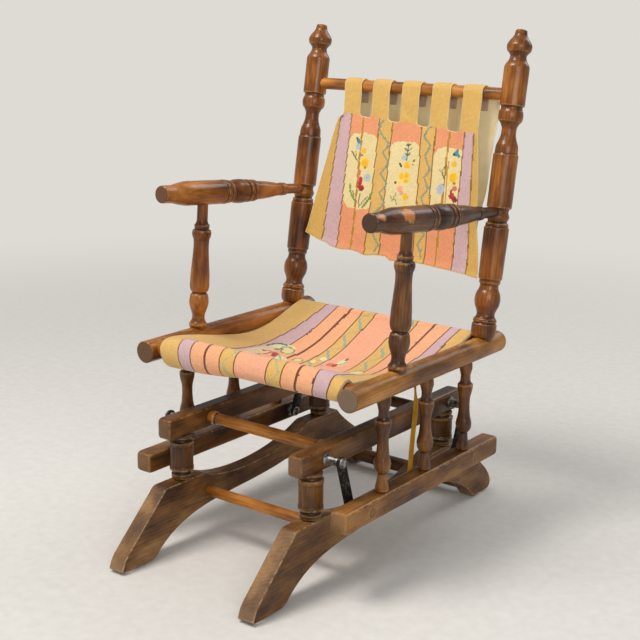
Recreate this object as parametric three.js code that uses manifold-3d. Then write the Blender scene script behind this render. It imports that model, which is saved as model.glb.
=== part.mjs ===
// Child's platform rocker: a turned armchair frame that swings on four iron links above a fixed sledge base.
//
// Millimetres, +Z up. The chair faces -Y, +X is to the right as seen from the front, and the origin is on the
// floor under the middle of the sledges.

import * as THREE from 'three';
import { mergeVertices } from 'three/addons/utils/BufferGeometryUtils.js';
import Module from 'manifold-3d';

const wasm = await Module();
wasm.setup();

// Driving dimensions

// Clearance between pieces that touch.
const fitGap = 0.3;

// Sledges: two sawn planks, each with a toe, a front shoulder, a dip, a higher rear shoulder and a heel.
const sledgeLength = 600;
const sledgeThickness = 26;
const sledgeSpacing = 232;
const sledgeChamfer = 1.6;
const frontShoulderHeight = 97;
const rearShoulderHeight = 110;
const toeHeight = 16;
const toeRake = 5;
const toeLength = 66;
const heelRound = 12;
const heelLength = 53;
const archHeight = 62;
const glideHeight = 3;
const glideLength = 26;
const glideWidth = 18;
const glideInset = 6;

// Base posts and the squared upper rails that they carry.
const frontPostY = -166;
const rearPostY = 160;
const basePostDiameter = 34;
const flatAhead = 46;
const flatBehind = 34;
const upperRailBase = 166.4;
const upperRailDepth = 30.3;
const upperRailWidth = 24;
const upperRailOverhang = 35.5;
const upperRailRound = 7;
const railChamfer = 1.5;

// Stretchers of the base.
const upperStretcherDiameter = 17;
const frontUpperSetback = 49;
const rearUpperSetback = 49;
const frontLowerDiameter = 16;
const frontLowerSetback = 42;
const frontLowerHeight = 71;
const rearLowerDiameter = 23;
const rearLowerInset = 45;
const rearLowerHeight = 18.5;

// Iron links: straps with an eye at each end, closer together below than above.
const linkCentreY = 6.4;
const upperPivotSpan = 312;
const lowerPivotSpan = 269;
const linkSpace = 33;
const linkThickness = 4;
const linkWidth = 16.5;
const linkHoleDiameter = 5;
const pinDiameter = 6;
const eyeDiameter = 10.4;
const bossDiameter = 12;
const flangeDiameter = 18;
const flangeThickness = 2.4;
const pinHeadDiameter = 15;
const pinHeadHeight = 4;

// Seat frame: squared lower rails, turned spindles and round seat rails.
const lowerRailBase = 100;
const lowerRailDepth = 29;
const lowerRailWidth = 27;
const lowerRailFrontOverhang = 56.9;
const lowerRailRearOverhang = 67.1;
const lowerRailRound = 8;
const plugDiameter = 15;
const plugHeight = 1.6;
const seatSplay = 3.5;
const spindleDiameter = 23;
const spindlePitch = 105.5;
const spindleMiddleY = 17;
const seatRailHeight = 277;
const seatRailDiameter = 32;
const seatRailFront = -174;
const seatRailLength = 391;
const seatRailRound = 11;
const crossRailDiameter = 22;
const crossRailRise = 4;
const frontRailInset = 22;
const rearRailInset = 51;

// Back: two raked turned posts and a round top rail.
const backHeight = 730;
const backRake = THREE.MathUtils.degToRad(9.23);
const backPostInset = 55;
const backPostDiameter = 38;
const topRailHeight = 639.5;
const topRailDiameter = 18;

// Arms on turned posts.
const armFront = -135;
const armFrontHeight = 498.5;
const armFall = THREE.MathUtils.degToRad(4.36);
const armDiameter = 36.5;
const armPostDiameter = 29;
const armPostSetback = 111;
const armPostLean = THREE.MathUtils.degToRad(4.15);

// Needlework seat sling, back panel with five tabs, its plain lining, and a tie tape.
const seatClothThickness = 4.5;
const seatClothEase = 1.5;
const seatEdgeSag = 29;
const seatMiddleSag = 53;
const backClothThickness = 2.5;
const tabWidth = 30;
const tabPitch = 53.4;
const tabOffset = 10.5;
const tabTail = 24;
const tabDrop = 53;
const panelDrop = 210.5;
const panelTuck = 3;
const liningThickness = 1.5;
const liningDrop = 247.5;
const tapeWidth = 7;
const tapeThickness = 1.4;
const tapeClearance = 1;
const tapeLength = 160;
const tapeX = 150;
const tapeY = 28;

// Worked out from the sizes above

const toeY = -sledgeLength / 2;
const heelY = sledgeLength / 2;
const sledgeX = sledgeSpacing / 2;
const upperRailMiddle = upperRailBase + upperRailDepth / 2;
const upperRailFace = sledgeX + upperRailWidth / 2;
const lowerRailX = upperRailFace + linkSpace + lowerRailWidth / 2;
const lowerRailFace = upperRailFace + linkSpace;
const lowerRailMiddle = lowerRailBase + lowerRailDepth / 2;
const lowerRailTop = lowerRailBase + lowerRailDepth;
const lowerRailFront = linkCentreY - lowerPivotSpan / 2 - lowerRailFrontOverhang;
const lowerRailLength = lowerRailFrontOverhang + lowerPivotSpan + lowerRailRearOverhang;
const linkPlaceShare = 0.73;
const linkX = upperRailFace + linkPlaceShare * linkSpace;
const pivotHalfSplay = (upperPivotSpan - lowerPivotSpan) / 2;
const pivotDrop = upperRailMiddle - lowerRailMiddle;
const linkLength = Math.hypot(pivotHalfSplay, pivotDrop);
const linkLean = Math.atan2(pivotHalfSplay, pivotDrop);
const seatRailX = lowerRailX + seatSplay;
const spindleX = (lowerRailX + seatRailX) / 2;
const seatRailRear = seatRailFront + seatRailLength;
const frontRailY = seatRailFront + frontRailInset;
const rearRailY = seatRailRear - rearRailInset;
const crossRailHeight = seatRailHeight + crossRailRise;
const backFootY = seatRailRear - backPostInset;
const backPostLength = (backHeight - seatRailHeight) / Math.cos(backRake);

// Round pieces are cut into this many sides.
const postSides = 14;
const armPostSides = 12;
const spindleSides = 12;
const basePostSides = 12;
const railSides = 16;
const smallSides = 10;

// Materials

const walnut = { color: 0x4a2a18, roughness: 0.42, metalness: 0 };
const iron = { color: 0x3b3836, roughness: 0.5, metalness: 0.9 };
const needlework = { color: 0xdba57e, roughness: 0.95, metalness: 0 };
const liningCloth = { color: 0xb39a80, roughness: 0.9, metalness: 0 };
const tapeCloth = { color: 0xc79a2c, roughness: 0.85, metalness: 0 };
const glideFelt = { color: 0xc9c2b4, roughness: 0.8, metalness: 0 };

// Shared helpers

/** Names a geometry and gives it a material of its own. */
function piece(name, geometry, look) {
  const mesh = new THREE.Mesh(geometry, new THREE.MeshStandardMaterial(look));
  mesh.name = name;
  return mesh;
}

/** A three.js geometry as a solid that can be cut and joined. */
function toSolid(geometry) {
  const bare = geometry.clone();
  bare.deleteAttribute('normal');
  bare.deleteAttribute('uv');
  const merged = mergeVertices(bare);
  const corners = merged.index.array;
  const kept = [];
  for (let i = 0; i < corners.length; i += 3) {
    const [a, b, c] = corners.slice(i, i + 3);
    if (a !== b && b !== c && c !== a) {
      kept.push(a, b, c);
    }
  }
  const vertProperties = Float32Array.from(merged.attributes.position.array);
  return new wasm.Manifold(new wasm.Mesh({ numProp: 3, vertProperties, triVerts: Uint32Array.from(kept) }));
}

/** A cut or joined solid as a three.js geometry again. */
function fromSolid(solid) {
  const { vertProperties, triVerts } = solid.getMesh();
  const geometry = new THREE.BufferGeometry();
  geometry.setAttribute('position', new THREE.BufferAttribute(vertProperties, 3));
  geometry.setIndex(new THREE.BufferAttribute(triVerts, 1));
  geometry.computeVertexNormals();
  return geometry;
}

/** Copes a placed mesh to a placed neighbour: takes away what the neighbour, grown by the fit gap, fills. */
function cope(mesh, neighbour) {
  mesh.updateWorldMatrix(true, false);
  neighbour.updateWorldMatrix(true, false);
  const toMesh = mesh.matrixWorld.clone().invert().multiply(neighbour.matrixWorld);
  const cutter = toSolid(neighbour.userData.grown.clone().applyMatrix4(toMesh));
  mesh.geometry = fromSolid(toSolid(mesh.geometry).subtract(cutter));
}

/** A profile of [radius, height] pairs revolved about Z. */
function revolved(profile, count) {
  const points = profile.map(([radius, height]) => new THREE.Vector2(radius, height));
  const first = new THREE.Vector2(0, points[0].y);
  const last = new THREE.Vector2(0, points[points.length - 1].y);
  return new THREE.LatheGeometry([first, ...points, last], count).rotateX(Math.PI / 2);
}

/** A turned piece from z = 0 to its length, from a table of [height share, radius share]. */
function turned(shares, length, diameter, count, grown = 0) {
  const radius = diameter / 2;
  return revolved(shares.map(([along, out]) => [out * radius + grown, along * length]), count);
}

/** A turned piece that others are coped to: it keeps a copy of its form, grown by the fit gap. */
function turnedPiece(name, shares, length, diameter, count) {
  const mesh = piece(name, turned(shares, length, diameter, count), walnut);
  mesh.userData.grown = turned(shares, length, diameter, count, fitGap);
  return mesh;
}

/** A board whose outline lies in the YZ plane, centred on x = 0, with chamfered arrises. */
function board(outline, thickness, chamfer, curveSegments) {
  const geometry = new THREE.ExtrudeGeometry(outline, {
    depth: thickness - 2 * chamfer,
    bevelEnabled: chamfer > 0,
    bevelThickness: chamfer,
    bevelSize: chamfer,
    bevelOffset: -chamfer,
    bevelSegments: 1,
    curveSegments,
  });
  geometry.translate(0, 0, chamfer - thickness / 2);
  const axes = new THREE.Matrix4();
  axes.makeBasis(new THREE.Vector3(0, 1, 0), new THREE.Vector3(0, 0, 1), new THREE.Vector3(1, 0, 0));
  return geometry.applyMatrix4(axes);
}

/** A rectangle with rounded corners, from its lower left corner. */
function roundedRectangle(x, y, width, height, round) {
  const shape = new THREE.Shape();
  const radius = Math.min(round, width / 2.1, height / 2.1);
  shape.moveTo(x + radius, y);
  shape.lineTo(x + width - radius, y);
  shape.quadraticCurveTo(x + width, y, x + width, y + radius);
  shape.lineTo(x + width, y + height - radius);
  shape.quadraticCurveTo(x + width, y + height, x + width - radius, y + height);
  shape.lineTo(x + radius, y + height);
  shape.quadraticCurveTo(x, y + height, x, y + height - radius);
  shape.lineTo(x, y + radius);
  shape.quadraticCurveTo(x, y, x + radius, y);
  return shape;
}

/** Both sides of the chair, as the sign of x and the word in the names. */
const bothSides = [
  { sign: -1, word: 'left' },
  { sign: 1, word: 'right' },
];

/** Both ends of the linkage: the sign of y from its centre and the word in the names. */
const bothEnds = [
  { sign: -1, word: 'front' },
  { sign: 1, word: 'rear' },
];

const chair = new THREE.Group();
const base = new THREE.Group();
const seatFrame = new THREE.Group();
const back = new THREE.Group();
back.position.set(0, backFootY, seatRailHeight);
back.rotation.x = -backRake;
seatFrame.add(back);
chair.add(base, seatFrame);

// Sledges

// Control points: [share of the stretch that they bend, share of the height named beside them].
const dipShares = [[0.154, 0.8], [0.654, 0.63]];
const legShares = [[0.264, 0.69], [0.925, 0.42]];
const rearArchShares = [[0.756, 0.903], [0.238, 1.065]];
const frontArchShares = [[0.396, 0.71], [0.795, 1.065]];
const crownShare = 0.09;

/** The side of a sledge, its underside on height 0. */
function sledgeOutline() {
  const frontFlat = [frontPostY - flatAhead, frontPostY + flatBehind];
  const rearFlat = [rearPostY - flatAhead, rearPostY + flatBehind];
  const crown = crownShare * sledgeLength;
  const archRear = heelY - heelLength;
  const archFront = toeY + toeLength;
  const dip = rearFlat[0] - frontFlat[1];
  const leg = heelY - rearFlat[1];
  const rearArch = archRear - crown;
  const frontArch = archFront - crown;
  const shape = new THREE.Shape();
  shape.moveTo(toeY, 0);
  shape.lineTo(toeY + toeRake, toeHeight);
  shape.lineTo(frontFlat[0], frontShoulderHeight);
  shape.lineTo(frontFlat[1], frontShoulderHeight);
  shape.bezierCurveTo(
    frontFlat[1] + dipShares[0][0] * dip, dipShares[0][1] * frontShoulderHeight,
    frontFlat[1] + dipShares[1][0] * dip, dipShares[1][1] * rearShoulderHeight,
    rearFlat[0], rearShoulderHeight,
  );
  shape.lineTo(rearFlat[1], rearShoulderHeight);
  shape.bezierCurveTo(
    rearFlat[1] + legShares[0][0] * leg, legShares[0][1] * rearShoulderHeight,
    rearFlat[1] + legShares[1][0] * leg, legShares[1][1] * rearShoulderHeight,
    heelY, heelRound,
  );
  shape.quadraticCurveTo(heelY, 0, heelY - heelRound, 0);
  shape.lineTo(archRear, 0);
  shape.bezierCurveTo(
    crown + rearArchShares[0][0] * rearArch, rearArchShares[0][1] * archHeight,
    crown + rearArchShares[1][0] * rearArch, rearArchShares[1][1] * archHeight,
    crown, archHeight,
  );
  shape.bezierCurveTo(
    crown + frontArchShares[0][0] * frontArch, frontArchShares[0][1] * archHeight,
    crown + frontArchShares[1][0] * frontArch, frontArchShares[1][1] * archHeight,
    archFront, 0,
  );
  return shape;
}

for (const { sign, word } of bothSides) {
  const sledge = piece(`sledge_${word}`, board(sledgeOutline(), sledgeThickness, sledgeChamfer, 8), walnut);
  sledge.position.set(sign * sledgeX, 0, glideHeight);
  base.add(sledge);

  const height = glideHeight - fitGap;
  const glideY = { front: toeY + glideInset + glideLength / 2, rear: heelY - heelRound - glideLength / 2 };
  for (const end of bothEnds) {
    const glide = new THREE.CylinderGeometry(glideWidth / 2, glideWidth / 2, height, 12).rotateX(Math.PI / 2);
    glide.scale(1, glideLength / glideWidth, 1);
    const mesh = piece(`glide_${end.word}_${word}`, glide, glideFelt);
    mesh.position.set(sign * sledgeX, glideY[end.word], height / 2);
    base.add(mesh);
  }
}

// Base posts, upper rails and stretchers

const basePostShares = [
  [0, 0.8], [0.04, 0.87], [0.11, 0.87], [0.15, 0.76], [0.19, 0.8], [0.22, 0.97], [0.28, 0.97],
  [0.31, 0.92], [0.76, 0.92], [0.79, 1], [0.85, 1], [0.88, 0.84], [0.92, 0.8], [0.95, 0.9], [1, 0.9],
];

/** A base post between its sledge's shoulder and the upper rail. */
function basePost(name, shoulderHeight) {
  const length = upperRailBase - glideHeight - shoulderHeight - 2 * fitGap;
  const mesh = piece(name, turned(basePostShares, length, basePostDiameter, basePostSides), walnut);
  mesh.position.z = glideHeight + shoulderHeight + fitGap;
  return mesh;
}

for (const { sign, word } of bothSides) {
  const front = basePost(`front_post_${word}`, frontShoulderHeight);
  front.position.x = sign * sledgeX;
  front.position.y = frontPostY;
  const rear = basePost(`rear_post_${word}`, rearShoulderHeight);
  rear.position.x = sign * sledgeX;
  rear.position.y = rearPostY;
  base.add(front, rear);

  const start = frontPostY - upperRailOverhang;
  const length = rearPostY + upperRailOverhang - start;
  const outline = roundedRectangle(start, 0, length, upperRailDepth, upperRailRound);
  const rail = piece(`upper_rail_${word}`, board(outline, upperRailWidth, railChamfer, 3), walnut);
  rail.position.set(sign * sledgeX, 0, upperRailBase);
  base.add(rail);
}

const collaredShares = [
  [0, 1.1], [0.025, 1.2], [0.05, 1.2], [0.065, 0.94], [0.5, 1], [0.935, 0.94], [0.95, 1.2],
  [0.975, 1.2], [1, 1.1],
];
const plainShares = [[0, 0.94], [0.3, 1], [0.7, 1], [1, 0.94]];

/** A stretcher between the inner faces of two like pieces that stand the sledge spacing apart. */
function stretcher(name, shares, diameter, faceThickness, y, z) {
  const length = sledgeSpacing - faceThickness - 2 * fitGap;
  const mesh = piece(name, turned(shares, length, diameter, smallSides + 2), walnut);
  mesh.rotation.y = Math.PI / 2;
  mesh.position.set(-length / 2, y, z);
  return mesh;
}

base.add(
  stretcher('front_upper_stretcher', collaredShares, upperStretcherDiameter, upperRailWidth,
    frontPostY + frontUpperSetback, upperRailMiddle),
  stretcher('rear_upper_stretcher', plainShares, upperStretcherDiameter, upperRailWidth,
    rearPostY - rearUpperSetback, upperRailMiddle),
  stretcher('front_lower_stretcher', plainShares, frontLowerDiameter, sledgeThickness,
    frontPostY + frontLowerSetback, frontLowerHeight),
  stretcher('rear_lower_stretcher', plainShares, rearLowerDiameter, sledgeThickness,
    heelY - rearLowerInset, rearLowerHeight),
);

// Iron links and the pins that they turn on

/** A link as it hangs: a strap with its upper eye at the origin and its lower eye straight below. */
function linkGeometry() {
  const half = linkWidth / 2;
  const shape = new THREE.Shape();
  shape.absarc(0, 0, half, 0, Math.PI, false);
  shape.absarc(0, -linkLength, half, Math.PI, 2 * Math.PI, false);
  const holes = [[0, eyeDiameter], [-linkLength / 2, linkHoleDiameter], [-linkLength, eyeDiameter]];
  for (const [height, diameter] of holes) {
    const hole = new THREE.Path();
    hole.absarc(0, height, diameter / 2, 0, 2 * Math.PI, true);
    shape.holes.push(hole);
  }
  return board(shape, linkThickness, 0, 5);
}

/** A pin from a rail's face at z = 0: flange, boss up to the link, shank through its eye, domed head. */
function pinGeometry(reach) {
  const boss = reach - fitGap;
  const shank = reach + linkThickness + fitGap;
  const head = pinHeadDiameter / 2;
  return revolved([
    [flangeDiameter / 2, fitGap], [flangeDiameter / 2, fitGap + flangeThickness],
    [bossDiameter / 2, fitGap + flangeThickness], [bossDiameter / 2, boss],
    [pinDiameter / 2, boss], [pinDiameter / 2, shank],
    [head, shank], [0.9 * head, shank + 0.55 * pinHeadHeight], [0.5 * head, shank + pinHeadHeight],
  ], smallSides);
}

const links = { left: new THREE.Group(), right: new THREE.Group() };
chair.add(links.left, links.right);

for (const { sign, word } of bothSides) {
  for (const end of bothEnds) {
    const upperY = linkCentreY + (end.sign * upperPivotSpan) / 2;
    const lowerY = linkCentreY + (end.sign * lowerPivotSpan) / 2;

    const link = piece(`link_${end.word}_${word}`, linkGeometry(), iron);
    link.position.set(sign * linkX, upperY, upperRailMiddle);
    link.rotation.x = -end.sign * linkLean;
    links[word].add(link);

    const upperReach = linkX - linkThickness / 2 - upperRailFace;
    const hanger = piece(`hanger_pin_${end.word}_${word}`, pinGeometry(upperReach), iron);
    hanger.rotation.y = (sign * Math.PI) / 2;
    hanger.position.set(sign * upperRailFace, upperY, upperRailMiddle);
    base.add(hanger);

    const lowerReach = lowerRailFace - linkX - linkThickness / 2;
    const lower = piece(`lower_pin_${end.word}_${word}`, pinGeometry(lowerReach), iron);
    lower.rotation.y = (-sign * Math.PI) / 2;
    lower.position.set(sign * lowerRailFace, lowerY, lowerRailMiddle);
    seatFrame.add(lower);

    const plug = piece(`plug_${end.word}_${word}`, revolved([
      [plugDiameter / 2, fitGap], [plugDiameter / 2, plugHeight / 2], [0.7 * plugDiameter / 2, plugHeight],
    ], smallSides + 2), walnut);
    plug.rotation.y = (sign * Math.PI) / 2;
    plug.position.set(sign * (lowerRailFace + lowerRailWidth), lowerY, lowerRailMiddle);
    seatFrame.add(plug);
  }
}

// Seat frame: lower rails, seat rails and spindles

const spindleShares = [
  [0, 0.72], [0.03, 0.83], [0.075, 0.79], [0.13, 0.66], [0.19, 0.64], [0.225, 0.83], [0.27, 0.98],
  [0.32, 1], [0.38, 0.88], [0.44, 0.76], [0.54, 0.67], [0.6, 0.7], [0.66, 0.84], [0.72, 0.97],
  [0.755, 0.98], [0.775, 0.78], [0.8, 0.66], [0.85, 0.62], [0.9, 0.72], [0.945, 0.84], [0.985, 0.82],
  [1.12, 0.62],
];

const seatRails = {};
for (const { sign, word } of bothSides) {
  const outline = roundedRectangle(lowerRailFront, 0, lowerRailLength, lowerRailDepth, lowerRailRound);
  const lowerRail = piece(`lower_rail_${word}`, board(outline, lowerRailWidth, railChamfer, 3), walnut);
  lowerRail.position.set(sign * lowerRailX, 0, lowerRailBase);
  seatFrame.add(lowerRail);

  const roundShare = seatRailRound / seatRailLength;
  const seatRailShares = [
    [0, 0.93], [0.1 * roundShare, 1], [1 - roundShare, 1], [1 - 0.5 * roundShare, 0.86],
    [1 - 0.15 * roundShare, 0.6], [1, 0.3],
  ];
  const rail = turnedPiece(`seat_rail_${word}`, seatRailShares, seatRailLength, seatRailDiameter, railSides);
  rail.rotation.x = -Math.PI / 2;
  rail.position.set(sign * seatRailX, seatRailFront, seatRailHeight);
  seatFrame.add(rail);
  seatRails[word] = rail;

  const visibleLength = seatRailHeight - seatRailDiameter / 2 - lowerRailTop;
  for (const [step, place] of [[-1, 'front'], [0, 'middle'], [1, 'rear']]) {
    const geometry = turned(spindleShares, visibleLength, spindleDiameter, spindleSides);
    const spindle = piece(`spindle_${place}_${word}`, geometry, walnut);
    spindle.position.set(sign * spindleX, spindleMiddleY + step * spindlePitch, lowerRailTop + fitGap);
    seatFrame.add(spindle);
    cope(spindle, rail);
  }
}

/** A round rail across the chair, coped to the pieces that it runs between. */
function crossRail(name, diameter, carriers, parent, y, z) {
  const length = 2 * seatRailX;
  const geometry = turned([[0, 1], [1, 1]], length, diameter, railSides);
  const mesh = piece(name, geometry, walnut);
  mesh.rotation.y = Math.PI / 2;
  mesh.position.set(-length / 2, y, z);
  parent.add(mesh);
  for (const carrier of carriers) {
    cope(mesh, carrier);
  }
}

// Back posts, and the rails that cross between them and between the seat rails

const backPostShares = [
  [0, 0.68], [0.027, 0.74], [0.036, 0.89], [0.053, 0.97], [0.074, 0.96], [0.079, 0.87], [0.084, 0.92],
  [0.091, 0.88], [0.098, 0.74], [0.108, 0.7], [0.119, 0.77], [0.137, 0.95], [0.155, 1], [0.172, 0.93],
  [0.188, 0.76], [0.201, 0.72], [0.207, 0.82], [0.216, 0.82], [0.221, 0.92], [0.382, 0.96],
  [0.386, 0.88], [0.395, 0.88], [0.401, 0.74], [0.417, 0.87], [0.433, 0.76], [0.442, 0.8],
  [0.447, 0.96], [0.611, 0.96], [0.617, 0.88], [0.629, 0.87], [0.64, 0.84], [0.658, 0.68],
  [0.678, 0.57], [0.693, 0.57], [0.709, 0.71], [0.72, 0.91], [0.733, 0.95], [0.746, 0.91],
  [0.755, 0.82], [0.762, 0.82], [0.766, 0.96], [0.883, 0.96], [0.89, 0.91], [0.907, 0.67],
  [0.918, 0.62], [0.926, 0.72], [0.936, 0.92], [0.949, 0.96], [0.963, 0.82], [0.976, 0.59],
  [0.985, 0.48], [0.997, 0.43], [1, 0.37],
];

const backPosts = {};
for (const { sign, word } of bothSides) {
  const post = turnedPiece(`back_post_${word}`, backPostShares, backPostLength, backPostDiameter, postSides);
  post.position.x = sign * seatRailX;
  back.add(post);
  cope(post, seatRails[word]);
  backPosts[word] = post;
}

const seatCarriers = Object.values(seatRails);
const backCarriers = Object.values(backPosts);
const topRailAlong = (topRailHeight - seatRailHeight) / Math.cos(backRake);
crossRail('front_seat_rail', crossRailDiameter, seatCarriers, seatFrame, frontRailY, crossRailHeight);
const rearCarriers = [...seatCarriers, ...backCarriers];
crossRail('rear_seat_rail', crossRailDiameter, rearCarriers, seatFrame, rearRailY, crossRailHeight);
crossRail('top_back_rail', topRailDiameter, backCarriers, back, 0, topRailAlong);

// Arms and arm posts

// The arm from its front end to the axis of the back post.
const armShares = [
  [0, 0.62], [0.004, 0.69], [0.06, 0.71], [0.08, 0.77], [0.12, 0.9], [0.16, 0.98], [0.376, 0.98],
  [0.381, 0.93], [0.389, 1], [0.406, 0.97], [0.414, 0.9], [0.444, 0.74], [0.455, 0.84], [0.48, 0.97],
  [0.506, 1], [0.535, 0.96], [0.56, 0.78], [0.566, 0.74], [0.577, 0.87], [0.597, 0.92], [0.617, 0.87],
  [0.63, 0.82], [0.793, 0.53], [0.8, 0.5], [0.806, 0.56], [0.836, 0.55], [0.842, 0.44], [1, 0.42],
];

// The arm post from the axis of the seat rail to the axis of the arm.
const armPostShares = [
  [0, 0.66], [0.075, 0.86], [0.088, 0.95], [0.1, 0.9], [0.115, 0.76], [0.13, 0.66], [0.153, 0.64],
  [0.18, 0.74], [0.21, 0.9], [0.25, 1], [0.284, 0.95], [0.302, 0.88], [0.313, 0.74], [0.33, 0.9],
  [0.363, 1], [0.432, 0.98], [0.525, 0.88], [0.637, 0.78], [0.68, 0.81], [0.702, 0.93], [0.721, 0.98],
  [0.744, 0.93], [0.753, 0.74], [0.777, 0.79], [0.79, 0.66], [0.81, 0.56], [1, 0.54],
];

for (const { sign, word } of bothSides) {
  const postAxisRise = Math.tan(backRake);
  const rearY = (backFootY + (armFrontHeight - seatRailHeight + armFront * Math.tan(armFall)) * postAxisRise)
    / (1 + Math.tan(armFall) * postAxisRise);
  const armLength = (rearY - armFront) / Math.cos(armFall);
  const arm = turnedPiece(`arm_${word}`, armShares, armLength, armDiameter, postSides);
  arm.rotation.x = -Math.PI / 2 - armFall;
  arm.position.set(sign * seatRailX, armFront, armFrontHeight);
  seatFrame.add(arm);
  cope(arm, backPosts[word]);

  const footY = seatRailFront + armPostSetback;
  const rise = armFrontHeight - seatRailHeight - (footY - armFront) * Math.tan(armFall);
  const postLength = rise / (Math.cos(armPostLean) + Math.sin(armPostLean) * Math.tan(armFall));
  const geometry = turned(armPostShares, postLength, armPostDiameter, armPostSides);
  const armPost = piece(`arm_post_${word}`, geometry, walnut);
  armPost.rotation.x = -armPostLean;
  armPost.position.set(sign * seatRailX, footY, seatRailHeight);
  seatFrame.add(armPost);
  cope(armPost, seatRails[word]);
  cope(armPost, arm);
}

// Seat sling

/** A closed solid between two like grids of points, lower and upper: rows along +X, columns along +Y. */
function slab(lowerGrid, upperGrid) {
  const rows = lowerGrid.length;
  const columns = lowerGrid[0].length;
  const positions = [...lowerGrid.flat(), ...upperGrid.flat()].flatMap(({ x, y, z }) => [x, y, z]);
  const lower = (row, column) => row * columns + column;
  const upper = (row, column) => rows * columns + lower(row, column);
  const index = [];
  const quad = (a, b, c, d) => index.push(a, b, c, a, c, d);
  for (let row = 0; row < rows - 1; row += 1) {
    for (let column = 0; column < columns - 1; column += 1) {
      quad(lower(row, column), lower(row, column + 1), lower(row + 1, column + 1), lower(row + 1, column));
      quad(upper(row, column), upper(row + 1, column), upper(row + 1, column + 1), upper(row, column + 1));
    }
    quad(lower(row, 0), lower(row + 1, 0), upper(row + 1, 0), upper(row, 0));
    const last = columns - 1;
    quad(lower(row, last), upper(row, last), upper(row + 1, last), lower(row + 1, last));
  }
  for (let column = 0; column < columns - 1; column += 1) {
    quad(lower(0, column), upper(0, column), upper(0, column + 1), lower(0, column + 1));
    const last = rows - 1;
    quad(lower(last, column), lower(last, column + 1), upper(last, column + 1), upper(last, column));
  }
  const geometry = new THREE.BufferGeometry();
  geometry.setAttribute('position', new THREE.Float32BufferAttribute(positions, 3));
  geometry.setIndex(index);
  geometry.computeVertexNormals();
  return geometry;
}

const seatHalfWidth = seatRailX - seatRailDiameter / 2 - seatClothEase;
const wrapStep = 20;
const rollRadius = crossRailDiameter / 2 / Math.cos(THREE.MathUtils.degToRad(wrapStep / 2)) + fitGap;
const frontWrap = { from: -70, to: 110 };
const rearWrap = { from: 70, to: 210 };
const wrapDrawIn = 0.1;
const sagSpread = 1.7;
const sagPower = 1.1;

/** How far the sling hangs below its rolls: deepest half way along, and deeper at mid width. */
function seatSag(across, along) {
  const depth = seatEdgeSag + (seatMiddleSag - seatEdgeSag) * (1 - across ** 2) ** sagSpread;
  return depth * Math.sin(Math.PI * along) ** sagPower;
}

/**
 * The sling's lower face as [y, z, normal y, normal z, width share] rows, from under the front roll
 * to behind the rear one.
 */
function seatSection(across) {
  const rows = [];
  const wrap = (centreY, { from, to }) => {
    for (let degrees = from; degrees <= to; degrees += wrapStep) {
      const angle = THREE.MathUtils.degToRad(degrees);
      const outY = -Math.cos(angle);
      const outZ = Math.sin(angle);
      const below = Math.max(-outZ, 0);
      rows.push([
        centreY + rollRadius * outY, crossRailHeight + rollRadius * outZ, outY, outZ, 1 - wrapDrawIn * below,
      ]);
    }
  };
  wrap(frontRailY, frontWrap);
  const spanSteps = 14;
  const spanLength = rearRailY - frontRailY;
  const heightAt = (along) => crossRailHeight + rollRadius - seatSag(across, along);
  for (let step = 1; step < spanSteps; step += 1) {
    const along = step / spanSteps;
    const nearbyShare = 0.01;
    const rise = heightAt(along + nearbyShare) - heightAt(along - nearbyShare);
    const slope = rise / (2 * nearbyShare * spanLength);
    const steep = Math.hypot(1, slope);
    rows.push([frontRailY + along * spanLength, heightAt(along), -slope / steep, 1 / steep, 1]);
  }
  wrap(rearRailY, rearWrap);
  return rows;
}

/** The seat sling, laid over the front and rear seat rails. */
function seatCloth() {
  const columns = 8;
  const inner = [];
  const outer = [];
  for (let column = 0; column <= columns; column += 1) {
    const across = (2 * column) / columns - 1;
    const edge = across * seatHalfWidth;
    const section = seatSection(across);
    inner.push(section.map(([y, z, , , width]) => new THREE.Vector3(edge * width, y, z)));
    outer.push(section.map(([y, z, outY, outZ, width]) => (
      new THREE.Vector3(edge * width, y + seatClothThickness * outY, z + seatClothThickness * outZ)
    )));
  }
  return slab(inner, outer);
}

seatFrame.add(piece('seat_cloth', seatCloth(), needlework));

// Back panel, its tabs and its lining, hung on the top rail in the plane of the back posts

const loopInner = topRailDiameter / 2 + fitGap;
const loopOuter = loopInner + backClothThickness;
const panelHeight = panelDrop / Math.cos(backRake);
const panelTop = topRailAlong - tabDrop / Math.cos(backRake);
const panelBottom = panelTop - panelHeight;
const panelHalfWidth = seatRailX - backPostDiameter / 2 + panelTuck;

// [share of the half width, share of the panel's height] along the wavy hem and up each edge.
const hemShares = [
  [-0.963, 0.144], [-0.757, 0.096], [-0.634, 0.067], [-0.327, 0.055], [0.064, 0.028], [0.347, 0.041],
  [0.854, 0.015], [0.996, 0],
];
const rightEdgeShares = [[0.988, 0.075], [0.923, 0.358], [0.902, 0.524], [0.866, 0.749]];
const leftEdgeShares = [[-0.725, 1.004], [-0.746, 0.97], [-0.825, 0.671]];
const topSlopeShare = -0.07;

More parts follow.
